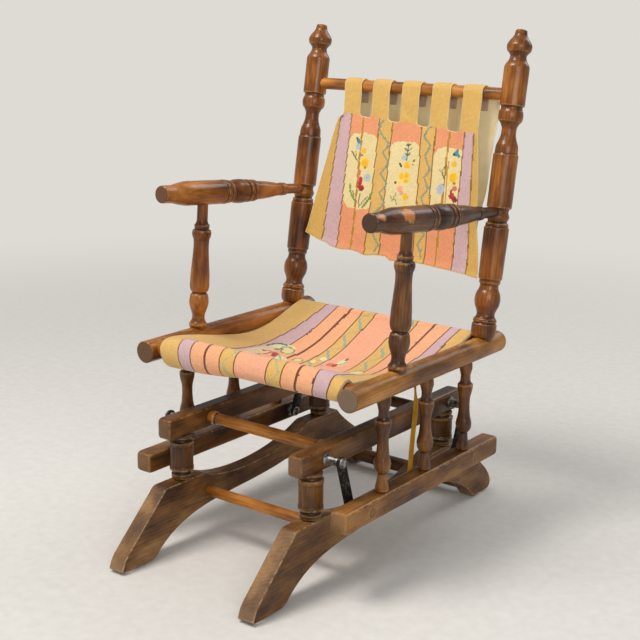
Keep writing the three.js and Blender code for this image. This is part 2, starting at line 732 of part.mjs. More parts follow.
/** The front of the panel with its five tabs, up to the rail's height. */
function panelOutline() {
  const shape = new THREE.Shape();
  const draw = ([across, up]) => shape.lineTo(across * panelHalfWidth, panelBottom + up * panelHeight);
  const topAt = (x) => panelTop + topSlopeShare * x;
  const gapRound = (tabPitch - tabWidth) / 3;
  shape.moveTo(hemShares[0][0] * panelHalfWidth, panelBottom + hemShares[0][1] * panelHeight);
  hemShares.slice(1).forEach(draw);
  rightEdgeShares.forEach(draw);
  for (let tab = 2; tab >= -2; tab -= 1) {
    const right = tabOffset + tab * tabPitch + tabWidth / 2;
    const left = right - tabWidth;
    if (tab < 2) {
      shape.lineTo(right + gapRound, topAt(right));
      shape.quadraticCurveTo(right, topAt(right), right, topAt(right) + gapRound);
    } else {
      shape.lineTo(right, topAt(right));
    }
    shape.lineTo(right, topRailAlong);
    shape.lineTo(left, topRailAlong);
    if (tab > -2) {
      shape.lineTo(left, topAt(left) + gapRound);
      shape.quadraticCurveTo(left, topAt(left), left - gapRound, topAt(left));
    } else {
      shape.lineTo(left, topAt(left));
    }
  }
  leftEdgeShares.forEach(draw);
  return shape;
}

/** A tab's loop over the rail, seen from its end: up the front, over the top and down the back. */
function tabOutline() {
  const shape = new THREE.Shape();
  const overlap = tabTail / 3;
  shape.moveTo(-loopOuter, topRailAlong - overlap);
  shape.lineTo(-loopOuter, topRailAlong);
  shape.absarc(0, topRailAlong, loopOuter, Math.PI, 0, true);
  shape.lineTo(loopOuter, topRailAlong - tabTail);
  shape.lineTo(loopInner, topRailAlong - tabTail);
  shape.lineTo(loopInner, topRailAlong);
  shape.absarc(0, topRailAlong, loopInner, 0, Math.PI, false);
  shape.lineTo(-loopInner, topRailAlong - overlap);
  return shape;
}

/** A flat cloth in the back's XZ plane, its thickness from y = front to y = front + thickness. */
function flatCloth(outline, thickness, front, curveSegments) {
  const settings = { depth: thickness, bevelEnabled: false, curveSegments };
  const geometry = new THREE.ExtrudeGeometry(outline, settings);
  return geometry.rotateX(Math.PI / 2).translate(0, front + thickness, 0);
}

/** The needlework panel joined with its tab loops. */
function backCloth() {
  let solid = toSolid(flatCloth(panelOutline(), backClothThickness, -loopOuter, 3));
  for (let tab = -2; tab <= 2; tab += 1) {
    const loop = board(tabOutline(), tabWidth, 0, 7);
    loop.translate(tabOffset + tab * tabPitch, 0, 0);
    solid = solid.add(toSolid(loop));
  }
  return fromSolid(solid);
}

back.add(piece('back_cloth', backCloth(), needlework));

// [share of the half width, share of the height] round the lining, counter-clockwise from the lower left.
const liningShares = [
  [-0.86, 0], [0.84, 0], [0.86, 0.25], [0.9, 0.44], [0.91, 0.68], [0.93, 0.91], [0.9, 1], [-0.72, 1],
  [-0.76, 0.8],
];

/** The lining, sewn behind the tabs: wider than the needlework at the top right and narrower below. */
function liningOutline() {
  const height = liningDrop / Math.cos(backRake);
  const bottom = topRailAlong - height;
  return new THREE.Shape(liningShares.map(([across, up]) => (
    new THREE.Vector2(across * panelHalfWidth, bottom + up * height)
  )));
}

const lining = flatCloth(liningOutline(), liningThickness, loopOuter + fitGap, 1);
back.add(piece('back_lining', lining, liningCloth));

// Tie tape, hanging from the sling's edge between the upper and lower rail on the right

// Points of the tape, from the sling down: shares of its length to the right, backwards and down.
const tapeShares = [
  [0, 0, 0], [-0.006, 0.006, 0.07], [0.006, 0.012, 0.29], [-0.006, 0, 0.58], [-0.012, -0.017, 0.87],
  [-0.012, -0.023, 1],
];

/** The tape's route, which starts in the sling's lower face. */
function tapeRoute() {
  const across = tapeX / seatHalfWidth;
  const along = (tapeY - frontRailY) / (rearRailY - frontRailY);
  const top = crossRailHeight + rollRadius - seatSag(across, along) - tapeThickness / 2 - tapeClearance;
  return tapeShares.map(([right, backwards, down]) => (
    new THREE.Vector3(tapeX + right * tapeLength, tapeY + backwards * tapeLength, top - down * tapeLength)
  ));
}

/** The tape: a flat oval section swept along its route. */
function tapeGeometry() {
  const section = new THREE.Shape();
  section.absellipse(0, 0, tapeThickness / 2, tapeWidth / 2, 0, 2 * Math.PI, false, 0);
  return new THREE.ExtrudeGeometry(section, {
    steps: 12,
    bevelEnabled: false,
    curveSegments: 4,
    extrudePath: new THREE.CatmullRomCurve3(tapeRoute()),
  });
}

seatFrame.add(piece('tie_tape', tapeGeometry(), tapeCloth));

export default chair;
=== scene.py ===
import logging
import math
from dataclasses import dataclass
from enum import Enum
from typing import Iterable, Sequence

import bpy
import numpy as np
from mathutils import Matrix


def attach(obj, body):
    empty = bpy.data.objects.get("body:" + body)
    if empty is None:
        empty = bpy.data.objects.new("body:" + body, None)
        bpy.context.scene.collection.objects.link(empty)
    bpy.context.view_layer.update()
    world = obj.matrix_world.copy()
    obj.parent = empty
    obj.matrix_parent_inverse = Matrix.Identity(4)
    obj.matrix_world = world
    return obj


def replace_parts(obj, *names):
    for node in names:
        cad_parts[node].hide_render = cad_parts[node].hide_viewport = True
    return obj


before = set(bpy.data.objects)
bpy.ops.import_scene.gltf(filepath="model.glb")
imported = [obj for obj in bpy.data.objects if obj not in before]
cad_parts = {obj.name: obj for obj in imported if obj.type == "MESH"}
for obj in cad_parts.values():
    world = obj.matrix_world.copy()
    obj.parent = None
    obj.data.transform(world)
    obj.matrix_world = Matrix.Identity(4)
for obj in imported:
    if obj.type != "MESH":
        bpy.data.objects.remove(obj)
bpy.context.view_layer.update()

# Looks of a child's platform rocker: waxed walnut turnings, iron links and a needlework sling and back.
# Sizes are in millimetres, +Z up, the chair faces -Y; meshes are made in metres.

log = logging.getLogger("platform_rocker")

MM = 0.001
SIDES = (("left", -1.0), ("right", 1.0))
ENDS = (("front", -1.0), ("rear", 1.0))
Array = np.ndarray
Stations = Sequence[tuple[float, float]]

# Sizes shared with the CAD source.
SLEDGE_X = 116.0
SEAT_RAIL_X = 178.0
LOWER_RAIL_X = 174.5
LOWER_RAIL_FACE = 161.0
UPPER_RAIL_FACE = 128.0
UPPER_RAIL_MIDDLE = 181.55
LOWER_RAIL_MIDDLE = 114.5
LOWER_RAIL_WIDTH = 27.0
LINK_X = 152.09
LINK_CENTRE_Y = 6.4
UPPER_PIN_REACH = 156.0
LOWER_PIN_REACH = 134.5
SEAT_Z = 277.0
CROSS_RAIL_Z = 281.0
FRONT_RAIL_Y = -152.0
REAR_RAIL_Y = 166.0
BACK_FOOT_Y = 162.0
BACK_RAKE = math.radians(9.23)
TOP_RAIL_ALONG = (639.5 - SEAT_Z) / math.cos(BACK_RAKE)
FIT_GAP = 0.3


def srgb(code: str) -> tuple[float, float, float, float]:
    """Turns an sRGB hex value into a linear colour.

    Args:
        code: six hex digits after a hash sign.

    Returns:
        Red, green, blue and an alpha of one.
    """
    shares = [int(code[i:i + 2], 16) / 255 for i in (1, 3, 5)]
    linear = [s / 12.92 if s <= 0.04045 else ((s + 0.055) / 1.055) ** 2.4 for s in shares]
    return (*linear, 1.0)


def feed(node: bpy.types.Node, inputs: dict) -> None:
    """Sets a node's sockets to values, or links them.

    Args:
        node: the node.
        inputs: by name or number, a value, the socket that feeds it, or a node, which feeds by its first output.
    """
    for name, value in inputs.items():
        if isinstance(value, bpy.types.Node):
            value = value.outputs[0]
        if isinstance(value, bpy.types.NodeSocket):
            node.id_data.links.new(value, node.inputs[name])
        else:
            node.inputs[name].default_value = value


def add_node(tree: bpy.types.NodeTree, kind: str, inputs: dict | None = None,
             stops: Sequence[tuple[float, str]] = (), **settings) -> bpy.types.Node:
    """Adds a node with its settings, its socket values and its links.

    Args:
        tree: the material's or world's nodes.
        kind: the node's type, without ShaderNode.
        inputs: what its sockets get, as feed takes it.
        stops: for a colour ramp, places with sRGB hex values.
        settings: the node's own properties.

    Returns:
        The node.
    """
    node = tree.nodes.new("ShaderNode" + kind)
    for name, value in settings.items():
        setattr(node, name, value)
    feed(node, inputs or {})
    if stops:
        marks = node.color_ramp.elements
        while len(marks) < len(stops):
            marks.new(0.5)
        for mark, (place, code) in zip(marks, stops):
            mark.position = place
            mark.color = srgb(code)
    return node


def start_material(name: str) -> tuple[bpy.types.Material, bpy.types.NodeTree, bpy.types.Node]:
    """Makes an empty material.

    Args:
        name: the finish's name.

    Returns:
        The material, its nodes and its surface shader.
    """
    material = bpy.data.materials.new(name)
    material.use_nodes = True
    tree = material.node_tree
    tree.nodes.clear()
    shader = add_node(tree, "BsdfPrincipled")
    add_node(tree, "OutputMaterial", {"Surface": shader})
    return material, tree, shader


class Finish:
    """A finish that makes its material once, when a piece first asks for it."""

    _made: dict[str, bpy.types.Material] = {}

    def material(self) -> bpy.types.Material:
        """Returns the finish's material."""
        if self.name not in Finish._made:
            Finish._made[self.name] = self.build()
        return Finish._made[self.name]

    def build(self) -> bpy.types.Material:
        """Makes the nodes; each finish has its own."""
        raise NotImplementedError


@dataclass(frozen=True)
class WaxedWalnut(Finish):
    """Lathe-turned or sawn walnut, stained and waxed, with worn arrises and dark grooves.

    The grain runs along the piece's own third axis, which its mesh carries as the attribute grain.
    """

    name: str
    deep: str
    body: str
    glow: str
    worn: str
    cut: str
    rough: float = 0.34
    coat: float = 0.3
    wear: float = 1.0
    slot: str = "walnut"

    def build(self) -> bpy.types.Material:
        """Makes growth rings, pores, blotches, wear on proud arrises, and dark wax with painted shade in the
        hollows.
        """
        material, tree, shader = start_material(self.name)
        grain = add_node(tree, "Attribute", attribute_name="grain").outputs["Vector"]
        edge, hollow, cut = (add_node(tree, "Attribute", attribute_name=name).outputs["Fac"]
                             for name in ("edge", "hollow", "cut"))
        # The figure is drawn out along the grain: growth rings about 4 mm apart, fibres and pores about 0.8 mm
        # apart and 20 to 30 mm long, and stain blotches about 60 mm across.
        rings_at, fibres_at, blotches_at = (
            add_node(tree, "Mapping", {"Vector": grain, "Scale": (1.0, 1.0, drawn)})
            for drawn in (0.09, 0.035, 0.4))
        rings = add_node(tree, "TexWave", {
            "Vector": rings_at, "Scale": 75.0, "Distortion": 9.0, "Detail": 3.0, "Detail Scale": 1.4,
            "Detail Roughness": 0.6}, wave_type="RINGS", rings_direction="Z").outputs["Fac"]
        fibres, blotches, scuffs = (
            add_node(tree, "TexNoise", {
                "Vector": at, "Scale": scale, "Detail": detail, "Roughness": rough}).outputs["Fac"]
            for at, scale, detail, rough in (
                (fibres_at, 900.0, 4.0, 0.65), (blotches_at, 24.0, 3.0, 0.55), (grain, 160.0, 6.0, 0.7)))
        figure = 0.0
        for part, share in ((rings, 0.05), (fibres, 0.14), (blotches, 0.8)):
            figure = add_node(tree, "Math", {0: part, 1: share, 2: figure}, operation="MULTIPLY_ADD")
        tone = add_node(tree, "ValToRGB", {"Fac": figure}, stops=(
            (0.36, self.deep), (0.5, self.body), (0.68, self.glow)))
        # Handling rubs the proud arrises, in patches.
        rub = add_node(tree, "Math", {0: scuffs, 1: edge, 2: -0.44}, operation="MULTIPLY_ADD")
        rub = add_node(tree, "MapRange", {
            "Value": rub, "From Min": -0.05, "From Max": 0.2, "To Max": 0.75 * self.wear})
        # Darker in the hollows: dark wax, together with painted shade.
        wax_and_shade = add_node(tree, "Math", {0: hollow, 1: 0.8}, operation="MULTIPLY")
        chips = add_node(tree, "TexVoronoi", {"Vector": grain, "Scale": 95.0, "Randomness": 1.0})
        chip = add_node(tree, "MapRange", {
            "Value": chips.outputs["Distance"], "From Min": 0.05, "From Max": 0.12, "To Min": 0.55, "To Max": 0.0})
        # Over the stain come the rubbed wood, dark wax and painted shade in the hollows, the greyer wood of sawn
        # ends, and small dents and chips where polish has gathered.
        for share, code in ((rub, self.worn), (wax_and_shade, "#150b07"), (cut, self.cut), (chip, self.deep)):
            tone = add_node(tree, "Mix", {0: share, 6: tone, 7: srgb(code)}, data_type="RGBA").outputs[2]
        gloss = add_node(tree, "MapRange", {
            "Value": scuffs, "From Min": 0.3, "From Max": 0.7,
            "To Min": self.rough - 0.07, "To Max": self.rough + 0.14})
        matt = add_node(tree, "Math", {0: cut, 1: 0.3, 2: gloss}, operation="MULTIPLY_ADD")
        relief = add_node(tree, "Math", {0: fibres, 1: 0.5, 2: chip}, operation="MULTIPLY_ADD")
        bump = add_node(tree, "Bump", {"Height": relief, "Strength": 0.35, "Distance": 0.0006})
        feed(shader, {
            "Base Color": tone, "Roughness": matt, "Normal": bump, "Coat Weight": self.coat,
            "Coat Roughness": 0.13, "Specular IOR Level": 0.3, "IOR": 1.5})
        return material


@dataclass(frozen=True)
class BlackenedIron(Finish):
    """Flat bar and turned steel, blackened and worn: dark grey with brown rust in the pits."""

    name: str
    dark: str
    bare: str
    rough: float = 0.5
    metallic: float = 0.9
    slot: str = "iron"

    def build(self) -> bpy.types.Material:
        """Makes rust blotches, bare patches and fine pitting."""
        material, tree, shader = start_material(self.name)
        place = add_node(tree, "TexCoord").outputs["Object"]
        # Rust blotches about 6 mm across, pits about 0.7 mm.
        patches = add_node(tree, "TexNoise", {"Vector": place, "Scale": 170.0, "Detail": 5.0, "Roughness": 0.65})
        pits = add_node(tree, "TexNoise", {"Vector": place, "Scale": 1400.0, "Detail": 3.0})
        tone = add_node(tree, "ValToRGB", {"Fac": patches.outputs["Fac"]}, stops=(
            (0.34, "#3a2619"), (0.5, self.dark), (0.72, self.bare)))
        gloss = add_node(tree, "MapRange", {
            "Value": patches.outputs["Fac"], "From Min": 0.3, "From Max": 0.7,
            "To Min": self.rough + 0.2, "To Max": self.rough - 0.12})
        bump = add_node(tree, "Bump", {"Height": pits.outputs["Fac"], "Strength": 0.4, "Distance": 0.0004})
        feed(shader, {"Base Color": tone, "Roughness": gloss, "Normal": bump, "Metallic": self.metallic})
        return material


@dataclass(frozen=True)
class WoolNeedlework(Finish):
    """Half-cross stitch in wool: the worked colours come from the mesh, the stitches from its UV map in metres."""

    name: str = "wool_needlework"
    pitch: float = 0.002
    slot: str = "needlework"

    def build(self) -> bpy.types.Material:
        """Makes slanted stitches 2 mm apart, each a little lighter or darker, with painted shade at their rims and
        a woolly sheen.
        """
        material, tree, shader = start_material(self.name)
        wool = add_node(tree, "VertexColor", layer_name="wool").outputs["Color"]
        flat = add_node(tree, "UVMap", uv_map="stitch")
        place = add_node(tree, "VectorMath", {0: flat, "Scale": 1.0 / self.pitch}, operation="SCALE")
        cell = add_node(tree, "VectorMath", {0: place}, operation="FLOOR")
        inside = add_node(tree, "VectorMath", {0: place}, operation="FRACTION")
        centred = add_node(tree, "Mapping", {
            "Vector": inside, "Location": (-0.5, -0.5, 0.0)}, vector_type="POINT")
        # Each stitch is a slanted loop, narrower across than along.
        slanted = add_node(tree, "Mapping", {
            "Vector": centred, "Rotation": (0.0, 0.0, math.radians(-38)), "Scale": (0.75, 1.25, 1.0)},
            vector_type="TEXTURE")
        reach = add_node(tree, "VectorMath", {0: slanted}, operation="LENGTH")
        loop = add_node(tree, "MapRange", {
            "Value": reach.outputs["Value"], "From Min": 0.1, "From Max": 0.62, "To Min": 1.0, "To Max": 0.0},
            interpolation_type="SMOOTHSTEP")
        shade = add_node(tree, "TexWhiteNoise", {"Vector": cell}, noise_dimensions="2D")
        soil = add_node(tree, "TexNoise", {"Vector": flat, "Scale": 26.0, "Detail": 4.0, "Roughness": 0.6})
        # Each stitch is painted lighter at its middle than at its rim: painted shade between the stitches.
        tone = 0.84
        for part, share in ((shade.outputs["Value"], 0.13), (soil.outputs["Fac"], 0.18), (loop, 0.12)):
            tone = add_node(tree, "Math", {0: part, 1: share, 2: tone}, operation="MULTIPLY_ADD")
        lit = add_node(tree, "VectorMath", {0: wool, "Scale": tone}, operation="SCALE")
        fuzz = add_node(tree, "TexNoise", {"Vector": flat, "Scale": 2600.0, "Detail": 3.0})
        relief = add_node(tree, "Math", {0: fuzz.outputs["Fac"], 1: 0.35, 2: loop}, operation="MULTIPLY_ADD")
        bump = add_node(tree, "Bump", {"Height": relief, "Strength": 0.6, "Distance": 0.0007})
        feed(shader, {
            "Base Color": lit, "Normal": bump, "Roughness": 0.92, "Specular IOR Level": 0.25,
            "Sheen Weight": 0.25, "Sheen Roughness": 0.5})
        return material


@dataclass(frozen=True)
class WovenCotton(Finish):
    """Plain woven cotton, such as the lining and the tie tape: crossing threads on the UV map in metres."""

    name: str
    colour: str
    shadow: str
    thread: float
    slot: str

    def build(self) -> bpy.types.Material:
        """Makes crossing threads, soft creases and faded patches."""
        material, tree, shader = start_material(self.name)
        flat = add_node(tree, "UVMap", uv_map="stitch")
        bands_apart = 0.314  # at a scale of one, in metres
        warp, weft = (
            add_node(tree, "TexWave", {"Vector": flat, "Scale": bands_apart / self.thread, "Distortion": 0.4},
                     wave_type="BANDS", bands_direction=way).outputs["Fac"] for way in ("X", "Y"))
        weave = add_node(tree, "Math", {0: warp, 1: weft}, operation="MULTIPLY")
        fade = add_node(tree, "TexNoise", {"Vector": flat, "Scale": 18.0, "Detail": 4.0, "Roughness": 0.6})
        figure = add_node(tree, "Math", {0: weave, 1: 0.3, 2: fade.outputs["Fac"]}, operation="MULTIPLY_ADD")
        tone = add_node(tree, "ValToRGB", {"Fac": figure}, stops=(
            (0.35, self.shadow), (0.7, self.colour)))
        bump = add_node(tree, "Bump", {"Height": weave, "Strength": 0.4, "Distance": 0.0003})
        # Light from behind comes through the thin cotton.
        feed(shader, {
            "Base Color": tone, "Normal": bump, "Roughness": 0.9, "Sheen Weight": 0.15, "Sheen Roughness": 0.4,
            "Subsurface Weight": 0.7, "Subsurface Radius": (1.0, 0.85, 0.65), "Subsurface Scale": 0.005})
        return material


@dataclass(frozen=True)
class GlidePad(Finish):
    """Moulded nylon glide, off-white and scratched underneath."""

    name: str = "nylon_glide"
    slot: str = "glide"

    def build(self) -> bpy.types.Material:
        """Makes a cloudy off-white with fine scratches."""
        material, tree, shader = start_material(self.name)
        place = add_node(tree, "TexCoord").outputs["Object"]
        cloud = add_node(tree, "TexNoise", {"Vector": place, "Scale": 220.0, "Detail": 5.0})
        tone = add_node(tree, "ValToRGB", {"Fac": cloud.outputs["Fac"]}, stops=(
            (0.35, "#a39c8c"), (0.6, "#d9d3c6")))
        bump = add_node(tree, "Bump", {"Height": cloud.outputs["Fac"], "Strength": 0.3, "Distance": 0.0003})
        feed(shader, {"Base Color": tone, "Normal": bump, "Roughness": 0.6})
        return material


FRAME_WALNUT = WaxedWalnut("waxed_walnut", deep="#3c1c04", body="#7d4610", glow="#c07a2e", worn="#c2873f",
                           cut="#63432b")
# Painted shade: a darker copy of the frame's walnut for the right arm.
SHADED_WALNUT = WaxedWalnut("dark_stained_walnut", deep="#241006", body="#54300e", glow="#96591c", worn="#d4842e",
                            cut="#453024", rough=0.32, coat=0.22)
STAINED_WALNUT = WaxedWalnut("stained_walnut", deep="#331a0b", body="#623a16", glow="#a0662a", worn="#c58440",
                             cut="#5a3d26")
SEAT_WALNUT = WaxedWalnut("golden_walnut", deep="#5a3610", body="#966022", glow="#c88e40", worn="#d09e52",
                          cut="#75604c", rough=0.4, coat=0.2)
RAIL_WALNUT = WaxedWalnut("rubbed_walnut", deep="#3f240b", body="#74481b", glow="#a37235", worn="#b8925e",
                          cut="#7d6048", rough=0.42, coat=0.2, wear=1.25)
# Darker than the frame's walnut: painted shade from the seat above the base.
BASE_WALNUT = WaxedWalnut("dark_walnut", deep="#2b1607", body="#57330f", glow="#8d5c28", worn="#a8804f",
                          cut="#76593e", rough=0.4, coat=0.22, wear=1.1)
SLEDGE_WALNUT = WaxedWalnut("scuffed_walnut", deep="#3c220c", body="#704a25", glow="#a27a4c", worn="#b8966c",
                            cut="#b09070", rough=0.46, coat=0.12, wear=1.3)
DOWEL_WALNUT = WaxedWalnut("honey_walnut", deep="#64380f", body="#ad6a22", glow="#dc9a4c", worn="#dcae70",
                           cut="#8a6a4c", rough=0.36, coat=0.3)
IRON = BlackenedIron("blackened_iron", dark="#2b2a2a", bare="#6b6a68")
STEEL = BlackenedIron("worn_steel", dark="#8b8a86", bare="#c9c6bf", rough=0.42)
NEEDLEWORK = WoolNeedlework()
# The lining's colours are paler than the cotton itself: painted light, making up for the shade behind the back
# panel.
LINING = WovenCotton("cotton_lining", colour="#fbe3c0", shadow="#e6c59b", thread=0.0011, slot="lining")
TAPE = WovenCotton("cotton_tape", colour="#d6a024", shadow="#9a6e10", thread=0.0012, slot="tape")
GLIDE = GlidePad()


def put_mesh(name: str, points: Array, faces: Iterable[Array], finish: Finish, body: str,
             values: dict[str, Array] | None = None, uv: Array | None = None,
             wool: Array | None = None) -> bpy.types.Object:
    """Puts whole arrays into a mesh object at the origin, in metres, and lets it ride on its body.

    Args:
        name: the piece's name.
        points: vertices in millimetres, one row each.
        faces: arrays of corner numbers, one row for each face, of any number of corners.
        finish: the piece's finish.
        body: the CAD body that carries it.
        values: vertex attributes, of one or three columns.
        uv: texture coordinates of each vertex, in metres.
        wool: linear colours of the faces, in the faces' order.

    Returns:
        The object.
    """
    mesh = bpy.data.meshes.new(name)
    groups = [np.asarray(group, np.int32) for group in faces if len(group)]
    corners = np.concatenate([group.ravel() for group in groups])
    sizes = np.concatenate([np.full(len(group), group.shape[1], np.int32) for group in groups])
    mesh.vertices.add(len(points))
    mesh.vertices.foreach_set("co", (np.asarray(points) * MM).astype(np.float32).ravel())
    mesh.loops.add(len(corners))
    mesh.loops.foreach_set("vertex_index", corners)
    mesh.polygons.add(len(sizes))
    mesh.polygons.foreach_set("loop_start", np.concatenate([[0], np.cumsum(sizes)[:-1]]).astype(np.int32))
    mesh.polygons.foreach_set("use_smooth", np.ones(len(sizes), bool))
    for key, value in (values or {}).items():
        value = np.asarray(value, np.float32)
        kind = "FLOAT_VECTOR" if value.ndim == 2 else "FLOAT"
        attribute = mesh.attributes.new(key, kind, "POINT")
        attribute.data.foreach_set("vector" if value.ndim == 2 else "value", value.ravel())
    mesh.update(calc_edges=True)
    if uv is not None:
        layer = mesh.uv_layers.new(name="stitch")
        layer.data.foreach_set("uv", np.asarray(uv, np.float32)[corners].ravel())
    if wool is not None:
        layer = mesh.color_attributes.new("wool", "FLOAT_COLOR", "CORNER")
        layer.data.foreach_set("color", np.repeat(wool, sizes, axis=0).astype(np.float32).ravel())
    mesh.materials.append(finish.material())
    piece = bpy.data.objects.new(name, mesh)
    bpy.context.scene.collection.objects.link(piece)
    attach(piece, body)
    return piece


def grid_faces(rows: int, columns: int, wrap: bool = False) -> Array:
    """Numbers the quads of a grid of points: each joins a point to its neighbours in row and column.

    Args:
        rows: how many rows of points.
        columns: how many points in a row.
        wrap: each row is closed.

    Returns:
        One row of four corners for each quad.
    """
    row = np.arange(rows - 1)[:, None] * columns
    column = np.arange(columns if wrap else columns - 1)[None, :]
    over, along = row + columns, (column + 1) % columns
    quads = np.stack(np.broadcast_arrays(row + column, row + along, over + along, over + column), axis=-1)
    return quads.reshape(-1, 4)


def clamp(value: Array) -> Array:
    """Keeps values between 0 and 1."""
    return np.clip(value, 0, 1)


def smooth_line(stations: Stations, at: Array) -> Array:
    """Runs a smooth line through stations without overshooting between them.

    The slope at a station is the harmonic mean of the slopes beside it, or nothing where they change sign,
    and each stretch is a cubic between its two stations.

    Args:
        stations: places and values, with rising places.
        at: the places where the line is wanted.

    Returns:
        The values there.
    """
    place, value = (np.array(column, float) for column in zip(*stations))
    step = np.diff(place)
    rise = np.diff(value) / step
    before, after = rise[:-1], rise[1:]
    product = before * after
    mean = np.where(product > 0, 2 * product / np.where(product > 0, before + after, 1.0), 0.0)
    slope = np.concatenate([[rise[0]], mean, [rise[-1]]])
    index = np.clip(np.searchsorted(place, at, side="right") - 1, 0, len(step) - 1)
    t = np.clip((at - place[index]) / step[index], 0.0, 1.0)
    h = step[index]
    return ((1 + 2 * t) * (1 - t) ** 2 * value[index] + t * (1 - t) ** 2 * h * slope[index]
            + t ** 2 * (3 - 2 * t) * value[index + 1] + t ** 2 * (t - 1) * h * slope[index + 1])


def ripple(seed: int, *at: Array, size: float = 1.0) -> Array:
    """Gives a soft, repeatable unevenness: a sum of five sines of the given coordinates with seeded phases.

    Args:
        seed: picks the phases and directions.
        at: arrays of coordinates, in the same shape.
        size: the longest wave's length, in the coordinates' units.

    Returns:
        Values from about -1 to 1.
    """
    rng = np.random.default_rng(seed)
    total = np.zeros(np.broadcast(*at).shape)
    for octave in range(5):
        turn = rng.normal(size=len(at))
        turn *= (1.0 + 0.6 * octave) * 2 * math.pi / size / max(np.linalg.norm(turn), 1e-6)
        total += np.sin(sum(c * k for c, k in zip(at, turn)) + rng.uniform(0, 2 * math.pi)) / (1.4 + octave)
    return total / 1.6


class Piece:
    """A piece that makes its own mesh. Its name is a word for its stuff and then its CAD node's name."""

    def make(self) -> bpy.types.Object:
        """Makes the piece's mesh; each form has its own."""
        raise NotImplementedError

    def stand_in(self) -> None:
        """Makes the piece and lets it stand for its CAD node."""
        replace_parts(self.make(), self.name.split("_", 1)[1])


@dataclass
class Turning(Piece):
    """A piece turned on the lathe: a profile of radii carried round the line from foot to tip.

    A point is foot + axis * along + radius(along) * (cos(turn) * first + sin(turn) * second). Each patch of wear
    has its place and its reach along, its turn in degrees, and its strength.
    """

    name: str
    body: str
    foot: tuple[float, float, float]
    way: tuple[float, float, float]
    length: float
    diameter: float
    stations: Stations
    finish: Finish
    sides: int = 56
    pitch: float = 0.9
    patches: tuple[tuple[float, float, float, float], ...] = ()
    seed: int = 1
    disc_inset: float = 0.5
    rim_inset: float = 0.45
    averaged_over: float = 2.2
    full_edge: float = 0.3
    full_hollow: float = 0.5

    def make(self) -> bpy.types.Object:
        """Makes the piece's mesh, with its grain, its proud arrises, its hollows and its cut ends."""
        end = self.stations[-1][0] * self.length
        rows = max(24, int(end / self.pitch))
        along = np.linspace(0, end, rows)
        radius = smooth_line(self.stations, along / self.length) * self.diameter / 2
        # Proud and hollow places: the radius against its own average over a few millimetres.
        reach = max(2, int(self.averaged_over / (end / rows)))
        soft = np.exp(-0.5 * (np.arange(-3 * reach, 3 * reach + 1) / reach) ** 2)
        padded = np.pad(radius, 3 * reach, mode="edge")
        proud = radius - np.convolve(padded, soft / soft.sum(), mode="valid")
        # Each end is a flat disc of four rings, a little smaller than the rim, which stands back from it.
        ease = np.array([1.0, 0.86, 0.45, 0.0])
        disc = len(ease)
        all_r = np.concatenate([(radius[0] - self.disc_inset) * ease[::-1], radius,
                                (radius[-1] - self.disc_inset) * ease])
        all_s = np.concatenate([np.zeros(disc), along + np.where(along <= 0, self.rim_inset, 0.0)
                                - np.where(along >= end, self.rim_inset, 0.0), np.full(disc, end)])
        proud = np.pad(proud, disc)
        cut = np.pad(np.zeros(rows), disc, constant_values=1.0)
        turn = np.linspace(0, 2 * math.pi, self.sides, endpoint=False)
        s, a = np.meshgrid(all_s, turn, indexing="ij")
        r = all_r[:, None] * (1 + 0.006 * ripple(self.seed, s / 40, np.cos(a), np.sin(a), size=2.0))
        local = np.stack([r * np.cos(a), r * np.sin(a), s], axis=-1)
        way = np.array(self.way) / np.linalg.norm(self.way)
        helper = np.array([1.0, 0.0, 0.0]) if abs(way[0]) < 0.9 else np.array([0.0, 1.0, 0.0])
        second = np.cross(way, helper)
        second /= np.linalg.norm(second)
        first = np.cross(second, way)
        points = (np.array(self.foot) + local[..., 0:1] * first + local[..., 1:2] * second
                  + local[..., 2:3] * way).reshape(-1, 3)
        count = len(all_s)
        faces = grid_faces(count, self.sides, wrap=True)[self.sides:-self.sides]
        # The rows at both poles are points: their quads become a fan of triangles.
        ring = np.arange(self.sides)
        following = (ring + 1) % self.sides
        base = (count - 2) * self.sides
        first_fan = np.stack([np.zeros_like(ring), self.sides + following, self.sides + ring], axis=-1)
        last_fan = np.stack([base + ring, base + following, np.full_like(ring, base + self.sides)], axis=-1)
        # The tree's heart lies about 5 mm off the axis, and a little elsewhere in each piece.
        heart = np.array([0.004, 0.003, 0.0])
        grain = local.reshape(-1, 3) * MM + (np.random.default_rng(self.seed).uniform(-0.03, 0.03, 3) + heart)
        spread = np.ones((1, self.sides))
        edge = clamp(proud / self.full_edge)[:, None] * spread
        for place, reach_along, turned_to, strength in self.patches:
            edge = np.maximum(edge, strength * self.patch(s, a, place, reach_along, turned_to))
        values = {
            "grain": grain,
            "edge": edge.ravel(),
            "hollow": (clamp(-proud / self.full_hollow)[:, None] * spread).ravel(),
            "cut": (cut[:, None] * spread).ravel(),
        }
        keep = np.concatenate([[0], np.arange(self.sides, base + self.sides + 1)])
        lookup = np.zeros(len(points), np.int64)
        lookup[keep] = np.arange(len(keep))
        values = {key: value[keep] for key, value in values.items()}
        return put_mesh(self.name, points[keep],
                        [lookup[faces], lookup[first_fan], lookup[last_fan]], self.finish, self.body, values)

    def patch(self, along: Array, turn: Array, place: float, reach: float, turned_to: float) -> Array:
        """Marks a worn patch: a bell over the place along and the turn in degrees, with a ragged rim."""
        off = np.angle(np.exp(1j * (turn - math.radians(turned_to))))
        ragged = 1 + 0.4 * ripple(self.seed + 5, along / 9, 2 * np.cos(turn), 2 * np.sin(turn), size=1.5)
        return np.exp(-(((along - place) / reach) ** 2 + (off / 0.6) ** 2) * ragged)


